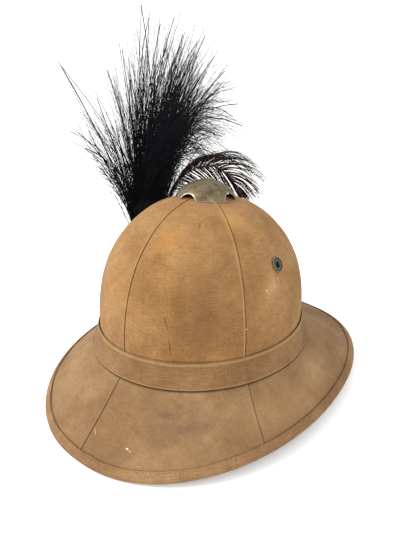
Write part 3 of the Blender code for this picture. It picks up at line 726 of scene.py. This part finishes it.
def make_binding(material):
    """The strip folded round the brim's edge, a little puckered where it is sewn."""
    inner_radius = EDGE_RADIUS - CLOTH_WALL
    over = PLAY + CLOTH_WALL
    under = -(CLOTH_WALL + PLAY + SHELL_WALL + PLAY)

    def section(turn):
        centre, outward, _ = edge_frame(turn)
        across = Vector((outward.x, outward.y, 0.0)).normalized()
        width = (centre - foot_point(turn)).length
        pucker = ripple(centre, 0.007, 0.35 * MM) + ripple(centre, 0.03, 0.5 * MM)

        def row_at(distance):
            return 3.0 - distance / width

        def on_arc(radius, angle):
            return centre + (across * math.cos(angle) + Vector((0.0, 0.0, math.sin(angle)))) * radius

        top = math.pi / 2 - math.asin(-outward.z)
        low = -math.pi / 2 + CONTACT_HALF_ANGLE
        points = [layer_point(turn, row_at(BINDING_WIDTH + pucker), over * 0.35),
                  layer_point(turn, row_at(BINDING_WIDTH - 0.3 * MM + pucker), over * 0.85)]
        points += [layer_point(turn, row_at(BINDING_WIDTH * share), over + pucker * lift) for share, lift in
                   ((0.80, 0.3), (0.62, -0.4), (0.40, 0.5), (0.18, 0.3), (0.0, 0.0))]
        points += [on_arc(EDGE_RADIUS, top + (low - top) * k / 8) for k in range(1, 9)]
        points += [on_arc(EDGE_RADIUS, -math.pi / 2 - CONTACT_HALF_ANGLE),
                   layer_point(turn, 3.0, under - CLOTH_WALL),
                   layer_point(turn, row_at(BINDING_UNDER_WIDTH), under - CLOTH_WALL),
                   layer_point(turn, row_at(BINDING_UNDER_WIDTH), under), layer_point(turn, 3.0, under)]
        points += [on_arc(inner_radius, top - math.pi * k / 4) for k in (3, 2, 1)]
        points += [layer_point(turn, 3.0, PLAY), layer_point(turn, row_at(BINDING_WIDTH), PLAY)]
        return points

    # The binding's inner edge is at fold distance 0, where the painted shade line runs
    folds = [0.0, 0.9 * MM] + [FAR_FROM_FOLD] * (len(section(0.0)) - 2)
    return sweep("binding_cloth", even_turns(340), section, folds, material,
                 "binding_cloth", ("brim_binding",))


STITCHES = 300
STITCH_INSET = 1.3 * MM
STITCH_RISE = 0.02 * MM
STITCH_HALF_SIZE = (0.95 * MM, 0.24 * MM, 0.22 * MM)


def make_stitches(material):
    """Short thread stitches along the binding's inner edge, about 3.4 mm apart."""
    body = bmesh.new()
    for number in range(STITCHES):
        turn = 2 * math.pi * (number + 0.5) / STITCHES
        width = (edge_centre(turn) - foot_point(turn)).length
        row = 3.0 - (BINDING_WIDTH - STITCH_INSET) / width
        point = layer_point(turn, row, PLAY + CLOTH_WALL + STITCH_RISE)
        along = (surface_point(turn + 0.01, row) - surface_point(turn - 0.01, row)).normalized()
        normal = surface_normal(turn, row)
        basis = Matrix((along, along.cross(normal), normal)).transposed().to_4x4()
        matrix = Matrix.Translation(point) @ basis @ Matrix.Diagonal((*STITCH_HALF_SIZE, 1.0))
        bmesh.ops.create_icosphere(body, subdivisions=1, radius=1.0, matrix=matrix)
    fold_layer = body.verts.layers.float.new("fold")
    for vertex in body.verts:
        vertex[fold_layer] = FAR_FROM_FOLD
    return finish_piece("binding_stitches", body, material, "binding_cloth", smooth=None)


# Metal fittings

CAP_SIDES = 96
CAP_RINGS = 18
CAP_LIFT = 1.2 * PLAY
ARCH_TOOL_LENGTH = 0.1


def make_cap(material):
    """The ventilator's dome, cut by four arches, with a rounded worn rim."""
    base = crown_height(VENT_RADIUS, -CROWN_AHEAD)
    body = bmesh.new()
    bmesh.ops.create_grid(body, x_segments=CAP_SIDES, y_segments=CAP_RINGS, size=0.5)
    for vertex in body.verts:
        turn = 2 * math.pi * round((vertex.co.x + 0.5) * CAP_SIDES) / CAP_SIDES
        share = math.sin((vertex.co.y + 0.5) * math.pi / 2) ** (2.0 / VENT_FULLNESS)
        x = VENT_RADIUS * math.sin(turn)
        y = -VENT_RADIUS * math.cos(turn)
        drop = crown_height(x, y - CROWN_AHEAD) - base
        rise = VENT_RISE * (1.0 - share ** VENT_FULLNESS) ** (1.0 / VENT_FULLNESS)
        vertex.co = (x * share, y * share - CROWN_AHEAD, base + CAP_LIFT + drop * share ** 2 + rise)
    bmesh.ops.remove_doubles(body, verts=body.verts, dist=1e-6)
    bmesh.ops.recalc_face_normals(body, faces=body.faces)
    face = max(body.faces, key=lambda item: item.calc_center_median().z)
    if face.normal.z < 0:
        bmesh.ops.reverse_faces(body, faces=body.faces)
    mesh = bpy.data.meshes.new("cap")
    body.to_mesh(mesh)
    body.free()
    cap = bpy.data.objects.new("cap", mesh)
    bpy.context.scene.collection.objects.link(cap)
    modifier(cap, "SOLIDIFY", thickness=VENT_WALL, offset=-1.0, use_even_offset=True)
    cutters = []
    half = VENT_ARCH_WIDTH / 2
    top = VENT_ARCH_HEIGHT + VENT_WALL
    for turn in (0.0, math.pi / 2):
        tool = bmesh.new()
        place = Matrix.Translation((0.0, -CROWN_AHEAD, base - VENT_WALL)) @ Matrix.Rotation(turn, 4, "Z")
        matrix = place @ Matrix.Diagonal((1.0, 1.0, top / half, 1.0)) @ Matrix.Rotation(math.pi / 2, 4, "X")
        bmesh.ops.create_cone(tool, cap_ends=True, segments=48, radius1=half, radius2=half,
                              depth=ARCH_TOOL_LENGTH, matrix=matrix)
        tool_mesh = bpy.data.meshes.new("arch")
        tool.to_mesh(tool_mesh)
        tool.free()
        cutter = bpy.data.objects.new("arch", tool_mesh)
        bpy.context.scene.collection.objects.link(cutter)
        modifier(cap, "BOOLEAN", operation="DIFFERENCE", solver="EXACT", object=cutter)
        cutters.append(cutter)
    modifier(cap, "BEVEL", width=0.28 * MM, segments=2, limit_method="ANGLE", angle_limit=math.radians(50))
    mesh = baked(cap)
    for item in cutters + [cap]:
        bpy.data.objects.remove(item, do_unlink=True)
    worn = mesh.attributes.new("worn", "FLOAT", "POINT")
    for vertex, wear in zip(mesh.vertices, worn.data):
        height = vertex.co.z - base + VENT_WALL
        arch = min(abs(math.hypot(side / half, height / top) - 1.0) * half
                   for side in (vertex.co.x, vertex.co.y + CROWN_AHEAD))
        foot = vertex.co.z - crown_height(vertex.co.x, vertex.co.y)
        wear.value = max(1.0 - ease(arch, 0.2 * MM, 1.0 * MM), 1.0 - ease(foot, 0.3 * MM, 1.1 * MM)) * 0.7
    piece = place_piece("ventilator_cap", mesh, material, "tarnished_metal", 35)
    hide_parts("ventilator")
    return piece


EYELET_SIDES = 40
EYELET_TUBE_WALL = 0.8 * MM
EYELET_LIP = 0.6 * MM


def make_eyelet(name, angle, material, replaced):
    """A turned ring with a rolled lip and a tube through the wall."""
    row = row_of_height(EYELET_HEIGHT)
    matrix = frame_matrix(surface_point(angle, row), surface_normal(angle, row))
    hole = EYELET_HOLE_RADIUS
    outside = hole + EYELET_TUBE_WALL
    depth = CLOTH_WALL + PLAY + SHELL_WALL + PLAY
    lip = [(EYELET_RADIUS + EYELET_LIP * (math.cos(turn) - 1.0), PLAY + EYELET_LIP * (math.sin(turn) + 1.0))
           for turn in (-1.4, -0.8, -0.2, 0.4, 1.0, 1.6)]
    dish = [(EYELET_RADIUS * share, PLAY + rise * MM) for share, rise in
            ((0.82, 1.05), (0.74, 0.85), (0.66, 1.0), (0.58, 1.15), (0.48, 1.0), (0.40, 0.6))]
    profile = [(hole, -depth), (outside, -depth), (outside, PLAY), *lip, *dish, (hole, 0.0), (hole, -depth)]
    body = turned(profile, EYELET_SIDES, matrix)
    worn = body.verts.layers.float.new("worn")
    inverse = matrix.inverted()
    for vertex in body.verts:
        share = (inverse @ vertex.co).xy.length / EYELET_RADIUS
        middle = ease(share, 0.42, 0.50) * (1.0 - ease(share, 0.62, 0.70))
        vertex[worn] = 0.8 * ease(share, 0.84, 0.94) + 0.45 * middle
    piece = finish_piece(name, body, material, "dark_metal", 45)
    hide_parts(replaced)


# Plume

# Sets of hair: strands in a clump, shortest and longest share of the lock's reach, and radius in mm
HAIR_SETS = (
    (4, 0.66, 1.02, 0.25),
    (1, 0.30, 0.70, 0.22),
    (7, 0.72, 1.05, 0.145),
)
HAIR_SPREAD = 0.0055
HAIR_STEPS = 9
HAIR_TAPER = 0.75
HAIR_CURL = 0.0034
HAIR_OUTER_X = -0.146
HAIR_TOP_Z = 0.358

# The leading strand of each lock is thick and nearly straight: its width over the set's, and its curl
LEADING_STRAND = (2.6, 0.0008)

# A clump's tip wanders by a multiple of the spread, and the clump leans up to a share of the way to the
# nearest of a few locks
TIP_WANDER = 1.5
LEADING_WANDER = 0.1
NEIGHBOUR_TRIES = 6
LEAN_TO_NEIGHBOUR = 0.6

# Roots: how far up the core they reach, and how much further at the back, for a lock of full rise, how
# far they scatter along the core, and how far out, as a share of its radius
ROOT_REACH = 0.22
ROOT_REACH_BEHIND = 0.45
ROOT_SPREAD = 0.05
ROOT_WIDTH = 0.48

# How loosely the ends of a clump's strands lie, over the spread
GATHERING = (0.10, 0.35, 0.8)

# The handle of a strand's curve: how far out in the lock's reach, its wander in metres, and its least
# height as a share of the end's
LIFT_AHEAD = 0.25
LIFT_WANDER = 0.004
LEAST_LIFT = 0.45

DOWN_HAIRS = 700
DOWN_STEPS = 5
DOWN_RADIUS = 0.17 * MM
DOWN_TAPER = 0.4

# Rings of the core, how far it fills the solid's core at its foot and its top, and the size of its dents
CORE_STEPS = 24
CORE_SIDES = 28
CORE_FOOT_SHARE = 0.90
CORE_TOP_SHARE = 0.24
CORE_DENT_SIZE = 0.006
CORE_DENT_DEPTH = 0.3


def bezier(start, lift, end, steps):
    """Points of a curve with one handle."""
    return [start * (1 - k / steps) ** 2 + lift * 2 * (k / steps) * (1 - k / steps) + end * (k / steps) ** 2
            for k in range(steps + 1)]


def plume_axis(share):
    """A point on the core's middle line."""
    return PLUME_MOUTH + Vector((PLUME_CORE_IN * share, PLUME_CORE_BACK * share ** PLUME_CORE_BEND,
                                 PLUME_CORE_RISE * share))


def tube(points, radii, sides):
    """A closed tube through points."""
    body = bmesh.new()
    rings = []
    for index, (point, radius) in enumerate(zip(points, radii)):
        before = points[max(index - 1, 0)]
        after = points[min(index + 1, len(points) - 1)]
        matrix = frame_matrix(point, (after - before).normalized())
        ring = bmesh.ops.create_circle(body, segments=sides, radius=radius, matrix=matrix)["verts"]
        rings.append((ring, list({edge for vertex in ring for edge in vertex.link_edges})))
    for (_, lower), (_, upper) in zip(rings, rings[1:]):
        bmesh.ops.bridge_loops(body, edges=lower + upper)
    for ring, _ in (rings[0], rings[-1]):
        bmesh.ops.contextual_create(body, geom=ring)
    bmesh.ops.recalc_face_normals(body, faces=body.faces)
    return body


def threads(name, routes, radius, taper, material, slot):
    """Hairs with three sides, one for each route of (points, width)."""
    ring = bpy.data.curves.new("thread", "CURVE")
    outline = ring.splines.new("POLY")
    outline.points.add(2)
    for number, point in enumerate(outline.points):
        turn = 2 * math.pi * number / 3
        point.co = (radius * math.cos(turn), radius * math.sin(turn), 0.0, 1.0)
    outline.use_cyclic_u = True
    section = bpy.data.objects.new("thread", ring)
    bpy.context.scene.collection.objects.link(section)
    curve = bpy.data.curves.new(name, "CURVE")
    curve.dimensions = "3D"
    curve.bevel_mode = "OBJECT"
    curve.bevel_object = section
    curve.use_fill_caps = True
    for points, width in routes:
        last = len(points) - 1
        line = curve.splines.new("POLY")
        line.points.add(last)
        for index, (target, point) in enumerate(zip(line.points, points)):
            target.co = (*point, 1.0)
            target.radius = width * (1.0 - (1.0 - taper) * (index / last) ** 1.5)
    holder = bpy.data.objects.new(name + "_lines", curve)
    bpy.context.scene.collection.objects.link(holder)
    mesh = baked(holder)
    bpy.data.objects.remove(holder, do_unlink=True)
    bpy.data.objects.remove(section, do_unlink=True)
    return place_piece(name, mesh, material, slot, smooth=None)


def about(draw, spread):
    """A random offset."""
    return Vector((draw.gauss(0, spread), draw.gauss(0, spread), draw.gauss(0, spread)))


def core_radius(share):
    """Radius of the solid's core at a share of its rise."""
    for (low, thin), (high, thick) in zip(PLUME_CORE_RINGS, PLUME_CORE_RINGS[1:]):
        if share <= high:
            return PLUME_CORE_RADIUS * (thin + (thick - thin) * (share - low) / (high - low))
    return PLUME_CORE_RADIUS * PLUME_CORE_RINGS[-1][1]


def hair_route(draw, start, lift, tip, steps, curl):
    """A hair that waves a little more towards its tip."""
    points = bezier(start, lift, tip, steps)
    slow_wave = about(draw, curl)
    quick_wave = about(draw, curl * 0.5)
    phase = draw.uniform(0, math.pi)
    for index, point in enumerate(points):
        share = index / steps
        point += slow_wave * math.sin(phase + share * 4.0) * share
        point += quick_wave * math.sin(phase + share * 9.0) * share
    return points


def plume_routes(draw, strands, shortest, longest):
    """Clumps of hair that follow each lock, or lie between it and the nearest of a few others."""
    routes = []
    for lock in PLUME_LOCKS:
        for number in range(lock[4]):
            out, back, rise, upright, _ = lock
            if number:
                tries = draw.sample(PLUME_LOCKS, NEIGHBOUR_TRIES)
                other = min(tries, key=lambda item: math.dist(item[:3], lock[:3]))
                mix = draw.uniform(0.0, LEAN_TO_NEIGHBOUR)
                out, back, rise = (a + (b - a) * mix for a, b in zip((out, back, rise), other[:3]))
            full = PLUME_MOUTH + Vector((out * PLUME_REACH, back * PLUME_REACH, rise * PLUME_RISE))
            full += about(draw, HAIR_SPREAD * (TIP_WANDER if number else LEADING_WANDER))
            root = draw.uniform(0.0, ROOT_REACH + ROOT_REACH_BEHIND * max(back, 0.0)) * rise
            reach = draw.triangular(shortest, longest, longest) if number else longest
            gather = draw.choice(GATHERING)
            for strand in range(strands):
                share = min(max(root + draw.gauss(0, ROOT_SPREAD), 0.02), 0.9)
                start = plume_axis(share) + about(draw, core_radius(share) * ROOT_WIDTH)
                length = draw.triangular(0.6, 1.0, 0.97) if strand else 1.0
                end = start + (full - start) * reach * length + about(draw, HAIR_SPREAD * gather)
                lift = start + Vector((out, back, 0.0)) * PLUME_REACH * LIFT_AHEAD + about(draw, LIFT_WANDER)
                height = (PLUME_MOUTH.z + rise * PLUME_RISE * upright * 1.1 - start.z) * reach
                lift.z = start.z + max(height, (end.z - start.z) * LEAST_LIFT)
                end.x = max(end.x, HAIR_OUTER_X)
                end.z = min(end.z, HAIR_TOP_Z)
                width, curl = (draw.uniform(0.6, 1.35), HAIR_CURL) if strand or number else LEADING_STRAND
                routes.append((hair_route(draw, start, lift, end, HAIR_STEPS, curl), width))
    return routes


def down_routes(draw):
    """Short hairs that stand out of the core."""
    routes = []
    for _ in range(DOWN_HAIRS):
        share = draw.uniform(0.05, 0.55)
        turn = draw.uniform(0, 2 * math.pi)
        away = Vector((math.cos(turn), math.sin(turn), 0.0))
        start = plume_axis(share) + away * core_radius(share) * 0.8
        length = draw.triangular(0.012, 0.046, 0.02)
        lift = start + (away * 0.10 + Vector((0.0, 0.08, 0.95))) * length * 0.6
        end = start + (away * draw.uniform(0.1, 0.5) + Vector((0.0, 0.15, 0.9))) * length
        points = hair_route(draw, start, lift, end, DOWN_STEPS, 0.0015)
        routes.append((points, draw.uniform(0.7, 1.2)))
    return routes


def make_core(material):
    """The dense foot of the plume, narrowing to a stalk inside the hair, with a dented face."""
    shares = [k / CORE_STEPS for k in range(CORE_STEPS + 1)]
    narrowing = CORE_FOOT_SHARE - CORE_TOP_SHARE
    filled = [CORE_FOOT_SHARE - narrowing * ease(share, 0.30, 0.52) for share in shares]
    radii = [core_radius(share) * part for share, part in zip(shares, filled)]
    core = tube([plume_axis(share) for share in shares], radii, CORE_SIDES)
    bmesh.ops.triangulate(core, faces=[face for face in core.faces if len(face.verts) > 4])
    for vertex in core.verts:
        share = (vertex.co.z - PLUME_MOUTH.z) / PLUME_CORE_RISE
        away = vertex.co - plume_axis(min(max(share, 0.0), 1.0))
        vertex.co += away * noise.noise(vertex.co / CORE_DENT_SIZE) * CORE_DENT_DEPTH
    return finish_piece("plume_core", core, material, "black_plumage", smooth=None)


def make_plume(material):
    """A core with three sets of hair that follow the locks, and short down round the core."""
    draw = random.Random(11)
    pieces = [make_core(material)]
    for number, (strands, shortest, longest, radius) in enumerate(HAIR_SETS, 1):
        routes = plume_routes(draw, strands, shortest, longest)
        pieces.append(threads(f"plume_hair_{number}", routes, radius * MM, HAIR_TAPER, material,
                              "black_plumage"))
    pieces.append(threads("plume_down", down_routes(draw), DOWN_RADIUS, DOWN_TAPER, material,
                          "black_plumage"))
    for piece in pieces:
        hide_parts("black_plume")


# Feather

QUILL_STEPS = 40
QUILL_RADIUS = 1.0 * MM
QUILL_TAPER = 0.6
QUILL_SIDES = 12
BUNCHES = 88
BARBS_IN_BUNCH = 7
BARB_STEPS = 8
BARB_RADIUS = 0.22 * MM
BARB_TAPER = 0.5
BARB_FLOOR = 0.8 * MM
CROWN_MARGIN = 0.97


def route_place(route, share):
    """A point at a share of a route."""
    place = min(max(share, 0.0) * (len(route) - 1), len(route) - 1.001)
    index = int(place)
    return route[index].lerp(route[index + 1], place - index)


def barb_row(share):
    """Lengths and directions of the barbs at a share of the quill's run."""
    for low, high in zip(FEATHER_BARBS, FEATHER_BARBS[1:]):
        if share <= high[0]:
            mix = (share - low[0]) / (high[0] - low[0])
            return [a + (b - a) * mix for a, b in zip(low[1:], high[1:])]
    return FEATHER_BARBS[-1][1:]


def barb_floor(point):
    """Height that a barb keeps over the crown, or 0 beside the crown."""
    share = math.hypot(point.x / CROWN_HALF_WIDTH, (point.y + CROWN_AHEAD) / CROWN_HALF_LENGTH)
    return crown_height(point.x, point.y) + BARB_FLOOR if share < CROWN_MARGIN else 0.0


def barb_points(point, length, root, tip, aside):
    """A barb that turns evenly from its root's direction to its tip's, in the plane the feather faces."""
    facing = Vector((math.sin(FEATHER_FACING), -math.cos(FEATHER_FACING), 0.0))
    level = Vector((math.cos(FEATHER_FACING), math.sin(FEATHER_FACING), 0.0))
    points = [point]
    for step in range(BARB_STEPS):
        turn = math.radians(root + (tip - root) * (step + 0.5) / BARB_STEPS)
        ahead = level * math.cos(turn) + Vector((0.0, 0.0, math.sin(turn))) + facing * aside
        point = point + ahead.normalized() * length / BARB_STEPS
        points.append(Vector((point.x, point.y, max(point.z, barb_floor(point)))))
    return points


def barb_routes(draw, route):
    """Small bunches of barbs on both sides of the quill."""
    first = FEATHER_BARBS[0][0]
    routes = []
    for number in range(BUNCHES):
        share = first + (1.0 - first) * (number + draw.uniform(-0.4, 0.4)) / BUNCHES
        row = barb_row(max(share, first))
        for length, root_turn, tip_turn in (row[:3], row[3:]):
            reach = length * MM * draw.triangular(0.62, 1.1, 1.0)
            bunch = draw.gauss(0, 5.0)
            aside = draw.gauss(0, 0.13)
            for _ in range(BARBS_IN_BUNCH):
                point = route_place(route, share + draw.gauss(0, 0.003))
                length = reach * draw.uniform(0.8, 1.0)
                root = root_turn + bunch * 0.5 + draw.gauss(0, 2.0)
                tip = tip_turn + bunch + draw.gauss(0, 2.5)
                routes.append((barb_points(point, length, root, tip, aside), draw.uniform(0.7, 1.3)))
    return routes


def make_feather(material):
    """A curled quill that thins towards its tip, with its barbs."""
    route = [FEATHER_MOUTH + Vector(row) * FEATHER_REACH for row in FEATHER_ROUTE]
    shares = [k / QUILL_STEPS for k in range(QUILL_STEPS + 1)]
    quill = tube([route_place(route, share) for share in shares],
                 [(1.0 - QUILL_TAPER * share) * QUILL_RADIUS for share in shares], QUILL_SIDES)
    quill = finish_piece("feather_quill", quill, material, "brown_plumage", smooth=None)
    routes = barb_routes(random.Random(5), route)
    barbs = threads("feather_barbs", routes, BARB_RADIUS, BARB_TAPER, material, "brown_plumage")
    for piece in (quill, barbs):
        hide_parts("brown_feather")


# Assembly

# Marks on the cloth, among them painted light and painted shade where noted: hue, strength, angle in
# degrees, row, half width and half height in mm of the map (100 to a radian and to a row), turn in
# degrees, and 1 for a crisp mark or 0 for a ragged one
CROWN_SPOTS = (
    ("#5C3A24", 0.52, 37.0, 0.84, 24.0, 19.0, 0.0, 0),
    ("#5E3F20", 0.40, 28.0, 0.75, 9.0, 16.0, 0.0, 0),
    # Painted shade over the crown's front right
    ("#66492E", 0.32, 45.0, 0.60, 48.0, 44.0, 0.0, 0),
    # Painted light: orange tan pools where the light falls on the crown's upper front
    ("#B07C42", 0.65, -18.0, 0.47, 34.0, 22.0, 0.0, 0),
    ("#A8743A", 0.35, 14.0, 0.45, 22.0, 12.0, 0.0, 0),
    # Painted shade in two creases of the cloth
    ("#241509", 0.90, 22.5, 0.836, 0.55, 6.4, -33.0, 1),
    ("#241509", 0.90, 24.7, 0.930, 0.55, 5.8, -13.0, 1),
    ("#35261A", 0.50, 6.4, 0.645, 0.6, 6.0, -21.0, 1),
    ("#35261A", 0.40, 9.6, 0.770, 0.7, 7.0, -21.0, 1),
    ("#3A2A1C", 0.50, 35.1, 0.351, 2.6, 4.6, 10.0, 1),
    ("#E0B878", 0.95, 60.2, 0.881, 1.2, 0.5, 20.0, 1),
    ("#B48E66", 0.35, 77.5, 0.725, 15.0, 9.0, 0.0, 0),
    ("#D2AC80", 0.50, 73.5, 0.735, 1.6, 0.9, 25.0, 1),
    ("#D2AC80", 0.45, 83.4, 0.700, 0.9, 1.8, 10.0, 1),
    ("#D2AC80", 0.35, 79.5, 0.726, 1.8, 0.7, 5.0, 1),
    ("#B98A4C", 0.28, 66.0, 0.330, 34.0, 15.0, 0.0, 0),
    ("#C8A070", 0.45, 86.0, 0.470, 0.6, 10.0, -27.0, 1),
    ("#5A2C14", 0.80, 33.5, 0.780, 0.9, 0.8, 0.0, 1),
    ("#5A2C14", 0.60, 51.0, 0.640, 0.9, 0.8, 0.0, 1),
)
BRIM_SPOTS = (
    ("#F0E6D2", 1.00, 15.1, 2.714, 1.6, 0.8, 40.0, 1),
    ("#D8C2A0", 0.80, 16.2, 2.735, 0.7, 1.0, 0.0, 1),
    ("#D0B490", 0.80, -2.6, 2.597, 0.8, 0.7, 0.0, 1),
    ("#C4A888", 0.70, 1.2, 2.670, 0.45, 5.6, -27.0, 1),
    ("#4E3C2A", 0.45, 25.8, 2.286, 8.0, 7.0, 0.0, 0),
    ("#4E3C2A", 0.40, 31.0, 2.180, 6.0, 5.0, 0.0, 0),
    ("#4E3A28", 0.45, 34.5, 2.150, 1.6, 1.0, 0.0, 1),
    ("#4E3A28", 0.30, 38.0, 2.440, 14.0, 12.0, 0.0, 0),
    ("#5A4536", 0.48, 31.0, 2.400, 26.0, 34.0, 0.0, 0),
    # Painted light on the brim's right side
    ("#A08460", 0.45, 102.0, 2.380, 36.0, 40.0, 0.0, 0),
    ("#94764F", 0.45, 84.0, 2.620, 50.0, 46.0, 0.0, 0),
    # Painted shadow inside the binding at the brim's far right
    ("#2E2012", 0.70, 120.0, 2.955, 34.0, 2.6, 0.0, 1),
    ("#9A7A55", 0.25, 62.0, 2.500, 30.0, 40.0, 0.0, 0),
)

crown_cotton = khaki_cotton("khaki_cotton_crown", "#8A6841", "#785632", CROWN_SPOTS, seam_line=0.72,
                            seam_lit=0.45)
brim_cotton = khaki_cotton("khaki_cotton_brim", "#836748", "#715639", BRIM_SPOTS, seam_line=0.50,
                           seam_lit=0.15)
band_cotton = khaki_cotton("khaki_cotton_band", "#7B5D3D", "#684C2F", lip_lit=0.34)
binding_cotton = khaki_cotton("khaki_cotton_binding", "#836646", "#6E5236", lip_lit=0.3)
thread_cotton = khaki_cotton("khaki_thread", "#836745", "#6C502F")
nickel = tarnished_nickel()
brass = blackened_brass()
cork = pressed_cork()
# The second colour of each is its painted highlight
black_barbs = plumage("black_barbs", "#040405", "#22252A", 0.0015)
brown_barbs = plumage("brown_barbs", "#140D0C", "#3E2C26", 0.006)

row_hole = row_of_radius(VENT_HOLE_RADIUS)
crown_steps = 54
crown_rows = [row_hole + (1.0 - row_hole) * k / crown_steps for k in range(crown_steps + 1)] + [1.06, 1.2]
brim_steps = 28
brim_rows = [1.90, 1.96] + [2.0 + k / brim_steps for k in range(brim_steps + 1)]
make_cloth("crown_cloth", crown_rows, crown_cotton, "crown_cloth",
           [f"crown_gore_{k}" for k in range(1, 7)], crown_fold, 0.7 * MM,
           [surface_point(angle, row_of_height(EYELET_HEIGHT)) for angle in (EYELET_ANGLE, -EYELET_ANGLE)])
make_cloth("brim_cloth", brim_rows, brim_cotton, "brim_cloth",
           [f"brim_panel_{k}" for k in range(1, 7)], brim_fold, 0.25 * MM)
make_band(band_cotton)
make_binding(binding_cotton)
make_stitches(thread_cotton)
make_cap(nickel)
make_eyelet("eyelet_ring_left", EYELET_ANGLE, brass, "eyelet_left")
make_eyelet("eyelet_ring_right", -EYELET_ANGLE, brass, "eyelet_right")
make_plume(black_barbs)
make_feather(brown_barbs)
for name, material in (("shell", cork), ("ventilator_stem", brass), ("plume_socket", brass)):
    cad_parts[name].material_slots[0].material = material

# Stage, light and camera

floor_mesh = bpy.data.meshes.new("floor")
floor_source = bmesh.new()
bmesh.ops.create_grid(floor_source, x_segments=1, y_segments=1, size=6.0)
floor_source.to_mesh(floor_mesh)
floor_source.free()
floor = bpy.data.objects.new("floor", floor_mesh)
bpy.context.scene.collection.objects.link(floor)
paper, _, paper_shader = new_material("white_paper")
paper_shader.inputs["Base Color"].default_value = colour("#F7F7F6")
paper_shader.inputs["Roughness"].default_value = 0.95
paper_shader.inputs["Specular IOR Level"].default_value = 0.0
floor_mesh.materials.append(paper)

world = bpy.data.worlds.new("studio")
bpy.context.scene.world = world
world.use_nodes = True
world.node_tree.nodes["Background"].inputs["Color"].default_value = (1.0, 1.0, 1.0, 1.0)
world.node_tree.nodes["Background"].inputs["Strength"].default_value = 1.3


def softbox(name, place, target, size, watts):
    """A rectangular lamp that faces its target."""
    light = bpy.data.lights.new(name, "AREA")
    light.shape = "RECTANGLE"
    light.size, light.size_y = size
    light.energy = watts
    holder = bpy.data.objects.new(name, light)
    holder.location = place
    holder.rotation_euler = (Vector(place) - Vector(target)).to_track_quat("Z", "Y").to_euler()
    bpy.context.scene.collection.objects.link(holder)


softbox("key_light", (-1.10, -1.05, 1.45), (0.0, 0.0, 0.10), (0.9, 0.9), 47)
softbox("fill_light", (1.6, -1.0, 1.2), (0.0, 0.0, 0.10), (1.2, 1.2), 20)

camera_data = bpy.data.cameras.new("camera")
camera_data.sensor_fit = "VERTICAL"
camera_data.sensor_height = 36.0
camera_data.lens = 26.98
camera = bpy.data.objects.new("camera", camera_data)
camera.location = (0.22012, -0.32822, 0.25292)
aim = Vector((0.00022, -0.02084, 0.10557)) - camera.location
turn = aim.to_track_quat("-Z", "Y").to_matrix().to_4x4() @ Matrix.Rotation(math.radians(1.0), 4, "Z")
camera.rotation_euler = turn.to_euler()
bpy.context.scene.collection.objects.link(camera)
bpy.context.scene.camera = camera
bpy.context.scene.view_settings.view_transform = "Standard"
